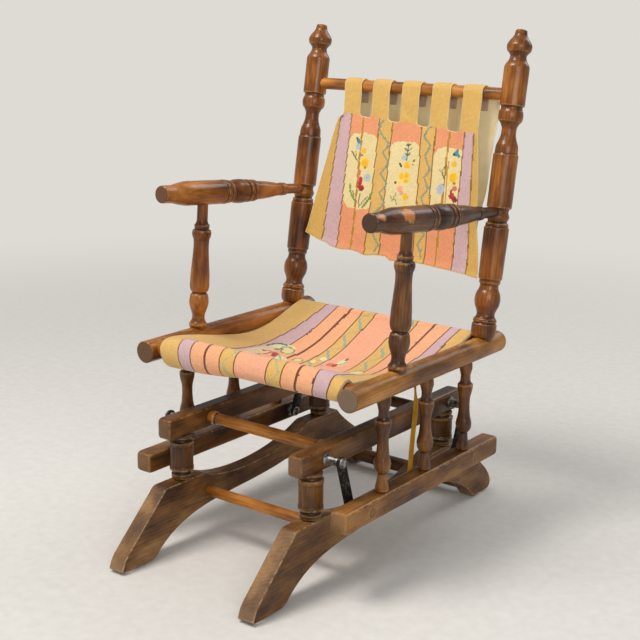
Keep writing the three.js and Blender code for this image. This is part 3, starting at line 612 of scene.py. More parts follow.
class SawnPiece(Piece):
    """A piece sawn along Y, whose grain runs that way from a seeded start."""

    def put(self, points: Array, faces: Iterable[Array], edge: Array, cut: Array,
            base: float = 0.0) -> bpy.types.Object:
        """Puts the piece's mesh.

        Args:
            points: vertices in millimetres.
            faces: arrays of corner numbers.
            edge: how proud each vertex is.
            cut: how much sawn end grain each shows.
            base: the height that the grain is counted from.

        Returns:
            The object.
        """
        shift = np.random.default_rng(self.seed).uniform(-0.06, 0.06, 3)
        grain = (points - np.array([self.x, 0, base]))[:, [0, 2, 1]] * MM + shift
        return put_mesh(self.name, points, faces, self.finish, self.body,
                        {"grain": grain, "edge": edge, "hollow": 0 * edge, "cut": cut})


@dataclass
class SquaredRail(SawnPiece):
    """A squared rail along Y with rounded arrises and pillowed ends.

    Its section is a rectangle with rounded corners; towards each end the section shrinks by a quarter ellipse.
    """

    name: str
    body: str
    x: float
    width: float
    base: float
    depth: float
    start: float
    length: float
    finish: WaxedWalnut
    corner: float = 4.4
    end_round: float = 7.0
    end_inset: float = 3.0
    dome: float = 2.6
    seed: int = 1

    def section(self) -> tuple[Array, Array, Array]:
        """Draws the section: four rounded corners, and points on the flats between, for grain and wear.

        Returns:
            The outline's points, their outward directions, and how proud each is, from 0 to 1.
        """
        half = np.array([self.width, self.depth]) / 2 - self.corner
        corner_points = 7
        corners, ways = [], []
        for quarter, signs in enumerate(((1, 1), (-1, 1), (-1, -1), (1, -1))):
            angle = np.linspace(0, math.pi / 2, corner_points) + quarter * math.pi / 2
            ways.append(np.stack([np.cos(angle), np.sin(angle)], axis=-1))
            corners.append(np.array(signs) * half + self.corner * ways[-1])
        share = np.array([0.08, 0.3, 0.5, 0.7, 0.92])[:, None]
        points, directions = [], []
        for own, following, outward in zip(corners, corners[1:] + corners[:1], ways):
            points += [own, own[-1] + (following[0] - own[-1]) * share]
            directions += [outward, np.repeat(outward[-1:], len(share), 0)]
        proud = [*(np.sin(np.linspace(0, math.pi, corner_points)) * 0.5 + 0.5), 0.25, 0, 0, 0, 0.25]
        return np.concatenate(points), np.concatenate(directions), np.tile(proud, 4)

    def make(self) -> bpy.types.Object:
        """Makes the rail's mesh."""
        section, outward, arris = self.section()
        half = np.array([self.width, self.depth]) / 2
        middle_z = self.base + half[1]
        end_rows, middle_rows = 9, 70
        near = self.end_round * (1 - np.cos(np.linspace(0, math.pi / 2, end_rows)))
        middle = np.linspace(self.end_round, self.length - self.end_round, middle_rows)
        along = np.concatenate([near[:-1], middle, (self.length - near)[::-1][1:]])
        off_end = np.minimum(along, self.length - along)
        share = clamp(off_end / self.end_round)
        inset = self.end_inset - self.end_inset * np.sqrt(clamp(1 - (1 - share) ** 2))
        wobble = 0.35 * ripple(self.seed, along / 60, size=1.5)
        drawn_in = np.sign(section) * clamp(np.abs(section) / (half - self.corner))
        grid = section[None] - inset[:, None, None] * drawn_in[None]
        x = self.x + grid[..., 0] + 0.3 * wobble[:, None]
        z = middle_z + grid[..., 1] + 0.4 * wobble[:, None]
        y = np.broadcast_to(self.start + along[:, None], x.shape)
        count, around = x.shape
        points = np.stack([x, y, z], axis=-1).reshape(-1, 3)
        faces = grid_faces(count, around, wrap=True)
        ring = np.arange(around)
        centre = np.array([[self.x, self.start - self.dome, middle_z],
                           [self.x, self.start + self.length + self.dome, middle_z]])
        # A second ring on each end makes its pillow: nearer the middle, and partly out to the dome.
        inner, outer = 0.72, 0.45
        rims = [centre[k] + (points[row * around:(row + 1) * around] - centre[k]) * np.array([inner, outer, inner])
                for k, row in ((0, 0), (1, count - 1))]
        first_rim, last_rim = len(points) + ring, len(points) + around + ring
        points = np.concatenate([points, *rims, centre])
        following = (ring + 1) % around
        hub = len(points) - 2
        ends = [np.stack([ring, first_rim, first_rim[following], following], axis=-1),
                np.stack([(count - 1) * around + ring, (count - 1) * around + following,
                          last_rim[following], last_rim], axis=-1)]
        fans = [np.stack([first_rim, np.full_like(ring, hub), first_rim[following]], axis=-1),
                np.stack([last_rim, last_rim[following], np.full_like(ring, hub + 1)], axis=-1)]
        end_edge = clamp(1.25 - off_end / (0.6 * self.end_round))
        on_top = 0.62 * clamp(outward[:, 1]) ** 2
        edge = np.maximum(np.maximum(arris * 0.9, on_top)[None, :], 0.9 * end_edge[:, None])
        edge = np.concatenate([edge.ravel(), np.zeros(2 * around + 2)])
        wall_cut, ring_cut, hub_cut = 0.4, 0.55, 0.6
        cut = np.concatenate([clamp(1 - 3 * share).repeat(around) * wall_cut, np.full(2 * around, ring_cut),
                              np.full(2, hub_cut)])
        return self.put(points, [faces, *ends, *fans], edge, cut, self.base)


def bezier(a: Sequence[float], b: Sequence[float], c: Sequence[float], d: Sequence[float], count: int) -> Array:
    """Points of a cubic curve from a to d, pulled towards b and c; the last point is left out."""
    t = np.linspace(0, 1, count, endpoint=False)[:, None]
    a, b, c, d = (np.array(p, float) for p in (a, b, c, d))
    return (1 - t) ** 3 * a + 3 * t * (1 - t) ** 2 * b + 3 * t ** 2 * (1 - t) * c + t ** 3 * d


def straight(a: Sequence[float], b: Sequence[float], step: float = 4.0) -> Array:
    """Points from a towards b at about the given step; the last point is left out."""
    a, b = np.array(a, float), np.array(b, float)
    count = max(1, round(float(np.linalg.norm(b - a)) / step))
    return a + (b - a) * np.linspace(0, 1, count, endpoint=False)[:, None]


def corner_round(before: Sequence[float], corner: Sequence[float], after: Sequence[float],
                 radius: float, count: int = 6) -> Array:
    """Rounds a corner: points of a curve from one side of the corner to the other, pulled towards it."""
    before, corner, after = (np.array(p, float) for p in (before, corner, after))
    start = corner + (before - corner) / np.linalg.norm(before - corner) * radius
    end = corner + (after - corner) / np.linalg.norm(after - corner) * radius
    t = np.linspace(0, 1, count)[:, None]
    return (1 - t) ** 2 * start + 2 * t * (1 - t) * corner + t ** 2 * end


@dataclass
class SawnPlank(SawnPiece):
    """A plank cut to an outline in the YZ plane, with softened arrises.

    The outline is given as two chains of as many points, the lower one towards the rear and the upper one back.
    Each row of points round the wall is the outline moved inwards along its own normals, at one place through the
    thickness, and each flat face is a grid between the chains.
    """

    name: str
    body: str
    x: float
    thickness: float
    outline: Array
    finish: Finish
    arris: float
    seed: int

    def make(self) -> bpy.types.Object:
        """Makes the plank's mesh: the rounded wall and both flat faces."""
        outline = self.outline
        step = np.roll(outline, -1, axis=0) - outline
        step /= np.linalg.norm(step, axis=1, keepdims=True)
        out = np.stack([step[:, 1], -step[:, 0]], axis=-1)
        before = np.roll(out, 1, axis=0)
        normal = (out + before) / np.maximum(1 + np.sum(out * before, axis=1, keepdims=True), 0.5)
        # From one face to the other: inset, place through the thickness, proudness.
        turn = np.linspace(0, math.pi / 2, 5)
        half = self.thickness / 2
        rim = np.stack([self.arris * (1 - np.sin(turn)), half - self.arris * (1 - np.cos(turn)),
                        0.6 + 0.4 * np.sin(2 * turn)], axis=-1)
        shoulder = np.array([[self.arris * 2.4, half, 0.0], [self.arris * 1.25, half, 0.4]])
        wall = np.array([[0.0, half - self.arris * 2.2, 0.15], [0.0, 0.0, 0.0]])
        near = np.concatenate([shoulder, rim, wall])
        rows = np.concatenate([near, (near * np.array([1, -1, 1]))[-2::-1]])
        inset, through, proud = rows.T
        y = outline[None, :, 0] - inset[:, None] * normal[None, :, 0]
        z = outline[None, :, 1] - inset[:, None] * normal[None, :, 1]
        x = np.broadcast_to(self.x + through[:, None], y.shape)
        count, around = y.shape
        points = np.stack([x, y, z], axis=-1).reshape(-1, 3)
        # The outline runs anticlockwise seen from +X, so rows from +X to -X make outward faces this way round.
        groups = [grid_faces(count, around, wrap=True)[:, ::-1]]
        half_count = around // 2
        edge = proud.repeat(around)
        across = np.abs(normal[:, 0]) ** 3
        # The walls that lie across the grain show some of its sawn ends.
        cut = (np.tile(across, count) * (inset < self.arris * 1.2).repeat(around)) * 0.45
        # Each flat face is cut into this many strips between its chains.
        strips = 5
        share = np.arange(1, strips)[:, None, None] / strips
        for first, outward in ((0, True), ((count - 1) * around, False)):
            lower = first + np.arange(half_count)
            upper = first + around - 1 - np.arange(half_count)
            inner = points[lower][1:-1] * (1 - share) + points[upper][1:-1] * share
            ids = len(points) + np.arange(inner.shape[0] * inner.shape[1]).reshape(inner.shape[:2])
            points = np.concatenate([points, inner.reshape(-1, 3)])
            table = np.concatenate([lower[None, 1:-1], ids, upper[None, 1:-1]])
            quads = table.ravel()[grid_faces(*table.shape)]
            ends = [np.concatenate([lower[:1], table[:, 0], upper[:1]]),
                    np.concatenate([table[:, -1], upper[-1:], lower[-1:]])]
            groups += [part[None] if outward else part[None, ::-1] for part in ends]
            groups.append(quads if outward else quads[:, ::-1])
        extra = np.zeros(len(points) - len(edge))
        edge, cut = np.concatenate([edge, extra]), np.concatenate([cut, extra])
        return self.put(points, groups, edge, cut)


def chain(points: Array, count: int) -> Array:
    """Spaces points evenly along a line: its length so far, cut into equal steps.

    Args:
        points: the line's own points.
        count: how many to return, both ends included.

    Returns:
        The evenly spaced points.
    """
    length = np.concatenate([[0.0], np.cumsum(np.linalg.norm(np.diff(points, axis=0), axis=1))])
    even = np.linspace(0, length[-1], count)
    return np.stack([np.interp(even, length, points[:, k]) for k in range(points.shape[1])], axis=-1)


@dataclass
class Camera:
    """The photograph's viewpoint, fitted to the chair's own corners."""

    target: tuple[float, float, float] = (36.33, -35.49, 335.44)
    distance: float = 1734.46
    yaw: float = math.radians(36.637)
    pitch: float = math.radians(14.07)
    roll: float = math.radians(0.877)
    focal_pixels: float = 1240.41
    frame_pixels: float = 640.0
    middle: tuple[float, float] = (324.06, 318.07)
    sensor: float = 36.0

    def place(self) -> None:
        """Makes the camera and looks through it."""
        back = np.array([math.sin(self.yaw) * math.cos(self.pitch),
                         -math.cos(self.yaw) * math.cos(self.pitch), math.sin(self.pitch)])
        right = np.cross(-back, [0, 0, 1])
        right /= np.linalg.norm(right)
        up = np.cross(right, -back)
        across = right * math.cos(self.roll) + up * math.sin(self.roll)
        upward = up * math.cos(self.roll) - right * math.sin(self.roll)
        matrix = np.eye(4)
        matrix[:3, 0], matrix[:3, 1], matrix[:3, 2] = across, upward, back
        matrix[:3, 3] = (np.array(self.target) + back * self.distance) * MM
        data = bpy.data.cameras.new("camera")
        data.sensor_width = self.sensor
        data.lens = self.focal_pixels / self.frame_pixels * self.sensor
        half = self.frame_pixels / 2
        data.shift_x = -(self.middle[0] - half) / self.frame_pixels
        data.shift_y = (self.middle[1] - half) / self.frame_pixels
        data.clip_start, data.clip_end = 0.05, 60.0
        camera = bpy.data.objects.new("camera", data)
        camera.matrix_world = Matrix(matrix.tolist())
        bpy.context.scene.collection.objects.link(camera)
        bpy.context.scene.camera = camera


@dataclass
class Studio:
    """A pale floor that fades into the world, and plain soft lamps."""

    floor_half: float = 8.0
    world_level: float = 0.42
    pale: str = "#dedbd5"

    def floor(self) -> None:
        """Makes the floor: pale and faintly gritty round the chair, and the backdrop's own tone further out."""
        material, tree, shader = start_material("studio_floor")
        place = add_node(tree, "TexCoord").outputs["Object"]
        grit = add_node(tree, "TexNoise", {"Vector": place, "Scale": 60.0, "Detail": 4.0})
        tone = add_node(tree, "ValToRGB", {"Fac": grit.outputs["Fac"]}, stops=(
            (0.3, "#d8d5cf"), (0.7, "#dfdcd7")))
        feed(shader, {"Base Color": tone, "Roughness": 0.7, "Specular IOR Level": 0.2})
        # The floor fades into the backdrop's tone between 0.7 and 2.6 m, so that no horizon shows.
        reach = add_node(tree, "VectorMath", {0: place}, operation="LENGTH")
        fade = add_node(tree, "MapRange", {"Value": reach.outputs["Value"], "From Min": 0.7, "From Max": 2.6},
                        interpolation_type="SMOOTHSTEP")
        far = add_node(tree, "Emission", {"Color": srgb(self.pale), "Strength": 1.0})
        mixed = add_node(tree, "MixShader", {0: fade, 1: shader, 2: far})
        output = next(node for node in tree.nodes if node.type == "OUTPUT_MATERIAL")
        feed(output, {"Surface": mixed})
        half = self.floor_half
        mesh = bpy.data.meshes.new("studio_floor")
        corners = [(-half, -half, 0), (half, -half, 0), (half, half, 0), (-half, half, 0)]
        mesh.from_pydata(corners, [], [(0, 1, 2, 3)])
        mesh.materials.append(material)
        floor = bpy.data.objects.new("studio_floor", mesh)
        bpy.context.scene.collection.objects.link(floor)

    def world(self) -> None:
        """Lights the scene evenly, and shows a pale backdrop to the camera."""
        world = bpy.data.worlds.new("studio")
        world.use_nodes = True
        bpy.context.scene.world = world
        tree = world.node_tree
        tree.nodes.clear()
        path = add_node(tree, "LightPath")
        lamp = add_node(tree, "Background", {"Color": srgb("#f2f3f5"), "Strength": self.world_level})
        shown = add_node(tree, "Background", {"Color": srgb(self.pale), "Strength": 1.0})
        mixed = add_node(tree, "MixShader", {0: path.outputs["Is Camera Ray"], 1: lamp, 2: shown})
        add_node(tree, "OutputWorld", {"Surface": mixed})

    def lamps(self) -> None:
        """Hangs a warm key lamp overhead in front, a weaker, wider one at the right and the weakest behind."""
        white, warm = (1.0, 1.0, 1.0), (1.0, 0.965, 0.92)
        for name, at, to, size, power, colour in (
            ("key", (-0.5, -0.9, 2.4), (0.0, 0.0, 0.35), 0.9, 42.0, warm),
            ("fill", (1.9, -1.7, 1.3), (0.0, 0.0, 0.3), 1.2, 20.0, white),
            ("rim", (0.4, 1.9, 1.9), (0.0, 0.1, 0.4), 1.2, 14.0, white),
        ):
            data = bpy.data.lights.new(name, "AREA")
            data.size = size
            data.energy = power
            data.color = colour
            lamp = bpy.data.objects.new(name, data)
            lamp.location = at
            way = np.array(to) - np.array(at)
            lamp.rotation_euler = Matrix(self.facing(way).tolist()).to_euler()
            bpy.context.scene.collection.objects.link(lamp)

    @staticmethod
    def facing(way: Array) -> Array:
        """Turns a lamp so that it shines along a direction."""
        back = -way / np.linalg.norm(way)
        right = np.cross([0.0, 0.0, 1.0], back)
        right /= np.linalg.norm(right)
        return np.stack([right, np.cross(back, right), back], axis=-1)

    def build(self) -> None:
        """Makes the floor, the world and the lamps."""
        scene = bpy.context.scene
        scene.view_settings.view_transform = "Standard"
        self.floor()
        self.world()
        self.lamps()


# Profiles: places as shares of the length, with radii as shares of half the diameter.
GLIDE_DISC = ((0, 0.93), (0.3, 1.0), (1, 1.0))
DOWEL = ((0, 1), (1, 1))
PLUG = ((0, 1), (0.5, 1), (1, 0.7))
SEAT_RAIL_LENGTH = 391.0
SEAT_RAIL_NOSE = 11.0 / SEAT_RAIL_LENGTH
SEAT_RAIL = ((0, 0.95), (0.1 * SEAT_RAIL_NOSE, 1), (0.2, 1), (0.5, 0.985), (0.8, 1), (1 - SEAT_RAIL_NOSE, 1),
             (1 - 0.5 * SEAT_RAIL_NOSE, 0.86), (1 - 0.15 * SEAT_RAIL_NOSE, 0.6), (1, 0.3))
BASE_POST = ((0, 0.8), (0.04, 0.87), (0.11, 0.87), (0.15, 0.76), (0.19, 0.8), (0.22, 1.02), (0.28, 1.02),
             (0.31, 0.98), (0.76, 0.98), (0.79, 1.03), (0.85, 1.03), (0.88, 0.86), (0.92, 0.82), (0.95, 0.94),
             (1, 0.94))
COLLARED = ((0, 1.1), (0.025, 1.2), (0.05, 1.2), (0.065, 0.94), (0.5, 1), (0.935, 0.94), (0.95, 1.2),
            (0.975, 1.2), (1, 1.1))
PLAIN = ((0, 0.94), (0.3, 1), (0.7, 1), (1, 0.94))
SPINDLE = ((0, 0.72), (0.02, 0.83), (0.055, 0.8), (0.1, 0.68), (0.15, 0.59), (0.2, 0.56), (0.212, 0.66),
           (0.235, 0.86), (0.265, 0.98), (0.3, 1.02), (0.34, 0.95), (0.38, 0.83), (0.43, 0.74), (0.54, 0.67),
           (0.6, 0.7), (0.66, 0.84), (0.72, 0.97), (0.755, 0.98), (0.775, 0.78), (0.8, 0.66), (0.85, 0.62),
           (0.9, 0.72), (0.945, 0.84), (0.985, 0.82), (1.03, 0.62))
BACK_POST = ((0, 0.68), (0.027, 0.74), (0.036, 0.89), (0.053, 0.97), (0.074, 0.96), (0.079, 0.87),
             (0.084, 0.92), (0.091, 0.88), (0.098, 0.74), (0.108, 0.7), (0.119, 0.77), (0.137, 0.95), (0.155, 1),
             (0.172, 0.93), (0.188, 0.76), (0.201, 0.72), (0.207, 0.82), (0.216, 0.82), (0.221, 0.92),
             (0.382, 0.96), (0.386, 0.88), (0.395, 0.88), (0.401, 0.74), (0.417, 0.87), (0.433, 0.76),
             (0.442, 0.8), (0.447, 0.96), (0.611, 0.96), (0.617, 0.88), (0.629, 0.87), (0.64, 0.84),
             (0.658, 0.68), (0.678, 0.57), (0.693, 0.57), (0.709, 0.71), (0.72, 0.91), (0.733, 0.95),
             (0.746, 0.91), (0.755, 0.82), (0.762, 0.82), (0.766, 0.96), (0.883, 0.96), (0.89, 0.91),
             (0.907, 0.67), (0.918, 0.62), (0.926, 0.72), (0.936, 0.92), (0.949, 0.96), (0.963, 0.82),
             (0.976, 0.59), (0.985, 0.48), (0.997, 0.43), (1, 0.37))
ARM = ((0, 0.62), (0.004, 0.69), (0.06, 0.71), (0.08, 0.77), (0.12, 0.9), (0.16, 0.98), (0.376, 0.98),
       (0.381, 0.89), (0.389, 1), (0.404, 0.99), (0.412, 0.87), (0.42, 0.95), (0.432, 0.93), (0.442, 0.8),
       (0.455, 0.88), (0.48, 0.98), (0.506, 1), (0.53, 0.97), (0.543, 0.85), (0.553, 0.95), (0.566, 0.94),
       (0.576, 0.8), (0.588, 0.92), (0.604, 0.91), (0.616, 0.78), (0.63, 0.78), (0.793, 0.53), (0.8, 0.5),
       (0.806, 0.56), (0.836, 0.55), (0.842, 0.44), (1, 0.42))
ARM_POST = ((0, 0.66), (0.075, 0.86), (0.088, 0.95), (0.1, 0.9), (0.115, 0.76), (0.13, 0.66), (0.153, 0.64),
            (0.18, 0.74), (0.21, 0.9), (0.25, 1), (0.284, 0.95), (0.302, 0.88), (0.313, 0.74), (0.33, 0.9),
            (0.363, 1), (0.432, 0.98), (0.525, 0.88), (0.637, 0.78), (0.68, 0.81), (0.702, 0.93), (0.721, 0.98),
            (0.744, 0.93), (0.753, 0.74), (0.777, 0.79), (0.79, 0.66), (0.81, 0.56), (1, 0.54))


@dataclass
class SledgeBase:
    """The fixed base: two sledges, four posts, two upper rails and four stretchers."""

    length: float = 600.0
    thickness: float = 26.0
    front_shoulder: float = 97.0
    rear_shoulder: float = 110.0
    lift: float = 3.0
    upper_rail_base: float = 166.4

    def outline(self) -> Array:
        """Draws a sledge's side: toe, front shoulder, dip, rear shoulder, heel and the arch underneath."""
        toe, heel, front, rear = -self.length / 2, self.length / 2, self.front_shoulder, self.rear_shoulder
        flat_f, flat_r = (-212.0, -132.0), (114.0, 194.0)
        dip, leg = flat_r[0] - flat_f[1], heel - flat_r[1]
        arch, crown = 62.0, 54.0
        arch_rear, arch_front = 247.0, -234.0
        upper = np.concatenate([
            np.array([[toe + 1.2, 5.0], [toe + 2.5, 8.5]]),
            corner_round((toe, 0), (toe + 5, 16), (flat_f[0], front), 5.5),
            straight((toe + 9, 20.5), (flat_f[0] - 4, front - 4.5)),
            corner_round((toe + 5, 16), (flat_f[0], front), (flat_f[1], front), 5.5),
            straight((flat_f[0] + 8, front), (flat_f[1] - 2, front)),
            bezier((flat_f[1], front), (flat_f[1] + 0.154 * dip, 0.8 * front),
                   (flat_f[1] + 0.654 * dip, 0.63 * rear), (flat_r[0], rear), 50)[1:],
            straight((flat_r[0] + 2, rear), flat_r[1:] + (rear,)),
            bezier((flat_r[1], rear), (flat_r[1] + 0.264 * leg, 0.69 * rear),
                   (flat_r[1] + 0.925 * leg, 0.42 * rear), (heel, 12), 30),
        ])
        lower = np.concatenate([
            np.array([[toe + 0.2, 3.5], [toe + 1.2, 1.2], [toe + 3.5, 0.0]]),
            straight((toe + 6, 0), (arch_front - 2, 0)),
            bezier((crown, arch), (crown + 0.396 * (arch_front - crown), 0.71 * arch),
                   (crown + 0.795 * (arch_front - crown), 1.065 * arch), (arch_front, 0), 56)[:0:-1],
            bezier((arch_rear, 0), (crown + 0.756 * (arch_rear - crown), 0.903 * arch),
                   (crown + 0.238 * (arch_rear - crown), 1.065 * arch), (crown, arch), 40)[::-1],
            straight((arch_rear + 3, 0), (heel - 13, 0)),
            corner_round((heel, 13), (heel, 0), (heel - 13, 0), 12, 8)[::-1],
        ])
        outline = np.concatenate([chain(lower, 250), chain(upper, 250)[::-1]])
        return outline + np.array([0.0, self.lift])

    def build(self) -> None:
        """Makes the base and lets its pieces stand for their CAD nodes."""
        outline = self.outline()
        upright = (0, 0, 1)
        for seed, (word, sign) in enumerate(SIDES, start=11):
            x = sign * SLEDGE_X
            SawnPlank(f"walnut_sledge_{word}", "base", x, self.thickness, outline, SLEDGE_WALNUT, arris=2.0,
                      seed=seed).stand_in()
            SquaredRail(f"walnut_upper_rail_{word}", "base", x, width=25.0, base=self.upper_rail_base, depth=30.3,
                        start=-201.5, length=397.0, finish=BASE_WALNUT, seed=seed + 40).stand_in()
            for end, shoulder, post_y, glide_y in (("front", self.front_shoulder, -166.0, -281.0),
                                                   ("rear", self.rear_shoulder, 160.0, 275.0)):
                foot = self.lift + shoulder + FIT_GAP
                Turning(f"walnut_{end}_post_{word}", "base", (x, post_y, foot), upright,
                        length=self.upper_rail_base - foot - FIT_GAP, diameter=34.0, stations=BASE_POST,
                        finish=BASE_WALNUT, pitch=0.5, seed=seed + 60).stand_in()
                Turning(f"nylon_glide_{end}_{word}", "base", (x, glide_y, 0.0), upright, length=2.8, diameter=27.0,
                        stations=GLIDE_DISC, finish=GLIDE, sides=40, pitch=0.3, seed=seed).stand_in()
        for name, y, z, diameter, face, stations, finish in (
            ("front_upper_stretcher", -117.0, UPPER_RAIL_MIDDLE, 17.0, 24.0, COLLARED, DOWEL_WALNUT),
            ("rear_upper_stretcher", 111.0, UPPER_RAIL_MIDDLE, 17.0, 24.0, PLAIN, BASE_WALNUT),
            ("front_lower_stretcher", -124.0, 71.0, 16.0, self.thickness, PLAIN, DOWEL_WALNUT),
            ("rear_lower_stretcher", 255.0, 18.5, 23.0, self.thickness, PLAIN, BASE_WALNUT),
        ):
            length = 2 * SLEDGE_X - face - 2 * FIT_GAP
            Turning(f"walnut_{name}", "base", (-length / 2, y, z), (1, 0, 0), length, diameter, stations, finish,
                    sides=36, pitch=1.0, seed=len(name)).stand_in()
        log.info("base: sledges, posts, upper rails and stretchers")


@dataclass
class IronLinks:
    """Four flat iron straps and the pins that they turn on."""

    width: float = 16.5
    thickness: float = 4.0

    def strap_outline(self, upper: Array, lower: Array) -> Array:
        """Draws a strap with round ends from its upper to its lower eye, seen from +X."""
        along = upper - lower
        along /= np.linalg.norm(along)
        side = np.array([along[1], -along[0]])
        half = self.width / 2
        turn = np.linspace(0, math.pi, 17)[:, None]
        top = upper + half * (np.cos(turn) * side + np.sin(turn) * along)
        bottom = lower + half * (-np.cos(turn) * side - np.sin(turn) * along)
        line = np.concatenate([bottom[8:], top[:9]])
        other = np.concatenate([top[8:], bottom[:9]])
        if line[:, 0].mean() < other[:, 0].mean():
            line, other = other, line
        # The lower chain runs from the bottom of the strap up its rear edge, the upper one down its front edge.
        return np.concatenate([chain(line, 60)[1:], chain(other, 60)[1:]])

    def pin(self, name: str, body: str, face: float, way: float, y: float, z: float, reach: float) -> None:
        """Makes a pin from a rail's face: flange, boss, shank and domed head.

        Args:
            name: the CAD node.
            body: what carries it.
            face: the rail's face, across.
            way: 1 to the right or -1 to the left.
            y: the pin's axis, along.
            z: the pin's axis, up.
            reach: from the face to the strap.
        """
        flange, head = 9.0, 4.3
        length = reach + self.thickness + head
        stations = ((0.0, 8.8), (0.3, flange), (2.2, flange), (2.7, 8.5), (2.75, 6.2), (reach - 0.5, 6.0),
                    (reach - 0.3, 3.0), (reach + 4.2, 3.0), (reach + 4.3, 7.4), (reach + 5.6, 7.3),
                    (reach + 7.2, 5.9), (length, 3.2))
        shares = tuple((place / length, radius / flange) for place, radius in stations)
        Turning(f"steel_{name}", body, (face + way * FIT_GAP, y, z), (way, 0, 0), length, 2 * flange, shares,
                STEEL, sides=40, pitch=0.25, seed=3).stand_in()

    def build(self) -> None:
        """Makes the links and pins."""
        half = self.thickness / 2
        for word, sign in SIDES:
            for end, step in ENDS:
                upper = np.array([LINK_CENTRE_Y + step * UPPER_PIN_REACH, UPPER_RAIL_MIDDLE])
                lower = np.array([LINK_CENTRE_Y + step * LOWER_PIN_REACH, LOWER_RAIL_MIDDLE])
                link = f"link_{end}_{word}"
                SawnPlank(f"iron_{link}", link, sign * LINK_X, self.thickness, self.strap_outline(upper, lower),
                          IRON, arris=0.8, seed=5).stand_in()
                self.pin(f"hanger_pin_{end}_{word}", "base", sign * UPPER_RAIL_FACE, sign, *upper,
                         LINK_X - half - UPPER_RAIL_FACE)
                self.pin(f"lower_pin_{end}_{word}", "seat_frame", sign * LOWER_RAIL_FACE, -sign, *lower,
                         LOWER_RAIL_FACE - LINK_X - half)
        log.info("links: four straps and eight pins")


@dataclass
class SeatFrame:
    """The moving frame: lower rails, spindles, seat rails, back posts, arms and their posts."""

    spindle_x: float = 176.25
    spindle_middle_y: float = 17.0
    spindle_step: float = 105.5
    spindle_foot: float = 129.3
    arm_fall: float = math.radians(4.36)
    arm_post_lean: float = math.radians(4.15)
    plug_depth: float = 0.5
    rail_wear: tuple[tuple[float, float, float, float], ...] = ((115.0, 95.0, -84.0, 1.15),
                                                                (300.0, 95.0, -90.0, 1.15))
    arm_wear: tuple[tuple[float, float, float, float], ...] = ((67.0, 14.0, -33.0, 2.4), (13.0, 11.0, -40.0, 1.6))

    def side(self, word: str, sign: float, seed: int) -> None:
        """Makes one side of the frame."""
        # The spindles are stained darker than the rest, and the right seat rail is golden. The right arm's darker
        # walnut and its post's stained walnut, where the left ones have the frame's walnut, are painted shade. Of
        # the arms only the right one is worn.
        arm_finish, post_finish, rail_finish, arm_wear = (
            (SHADED_WALNUT, STAINED_WALNUT, SEAT_WALNUT, self.arm_wear) if sign > 0 else
            (FRAME_WALNUT, FRAME_WALNUT, FRAME_WALNUT, ()))
        SquaredRail(f"walnut_lower_rail_{word}", "seat_frame", sign * LOWER_RAIL_X, width=28.2, base=99.4,
                    depth=30.0, start=-185.0, length=393.0, finish=RAIL_WALNUT, corner=5.0, end_round=8.0,
                    end_inset=3.4, seed=seed).stand_in()
        x = sign * SEAT_RAIL_X
        raked = (0, math.sin(BACK_RAKE), math.cos(BACK_RAKE))
        falling = (0, math.cos(self.arm_fall), -math.sin(self.arm_fall))
        leaning = (0, math.sin(self.arm_post_lean), math.cos(self.arm_post_lean))
        plug_x = sign * (LOWER_RAIL_FACE + LOWER_RAIL_WIDTH - self.plug_depth)
        spindle_places = [(f"spindle_{place}", self.spindle_middle_y + step * self.spindle_step, 3 + step)
                          for place, step in (("front", -1), ("middle", 0), ("rear", 1))]
        plug_places = [(f"plug_{end}", LINK_CENTRE_Y + step * LOWER_PIN_REACH) for end, step in ENDS]
        for name, foot, way, length, diameter, stations, finish, sides, pitch, patches, seed_step in (
            *((name, (sign * self.spindle_x, y, self.spindle_foot), (0, 0, 1), 132.0, 23.0, SPINDLE,
               STAINED_WALNUT, 40, 0.7, (), seed_step) for name, y, seed_step in spindle_places),
            ("seat_rail", (x, -174.0, SEAT_Z), (0, 1, 0), SEAT_RAIL_LENGTH, 32.0, SEAT_RAIL, rail_finish, 56, 0.9,
             self.rail_wear, 7),
            ("back_post", (x, BACK_FOOT_Y, SEAT_Z), raked, 458.94, 38.0, BACK_POST, FRAME_WALNUT, 56, 0.8, (), 11),
            ("arm", (x, -135.0, 498.5), falling, 329.9, 36.5, ARM, arm_finish, 56, 0.8, arm_wear, 17),
            ("arm_post", (x, -63.0, SEAT_Z), leaning, 215.4, 29.0, ARM_POST, post_finish, 48, 0.7, (), 23),
            *((name, (plug_x, y, LOWER_RAIL_MIDDLE), (sign, 0, 0), 2.1, 15.0, PLUG, RAIL_WALNUT, 32, 0.3, (), 29)
              for name, y in plug_places),
        ):
            Turning(f"walnut_{name}_{word}", "seat_frame", foot, way, length, diameter, stations, finish, sides,
                    pitch, patches, seed + seed_step).stand_in()

    def build(self) -> None:
        """Makes both sides and the rails between them."""
        for number, (word, sign) in enumerate(SIDES):
            self.side(word, sign, 100 + 50 * number)
        top = (BACK_FOOT_Y + TOP_RAIL_ALONG * math.sin(BACK_RAKE), SEAT_Z + TOP_RAIL_ALONG * math.cos(BACK_RAKE))
        # Each bar ends 4 mm short of the axes of the pieces beside it.
        half = SEAT_RAIL_X - 4
        for name, y, z, diameter, finish in (
            ("front_seat_rail", FRONT_RAIL_Y, CROSS_RAIL_Z, 22.0, FRAME_WALNUT),
            ("rear_seat_rail", REAR_RAIL_Y, CROSS_RAIL_Z, 22.0, FRAME_WALNUT),
            ("top_back_rail", *top, 18.0, DOWEL_WALNUT),
        ):
            Turning(f"walnut_{name}", "seat_frame", (-half, y, z), (1, 0, 0), 2 * half, diameter, DOWEL, finish,
                    sides=36, pitch=1.5, seed=len(name) + 7).stand_in()
        log.info("seat frame: rails, spindles, posts and arms")


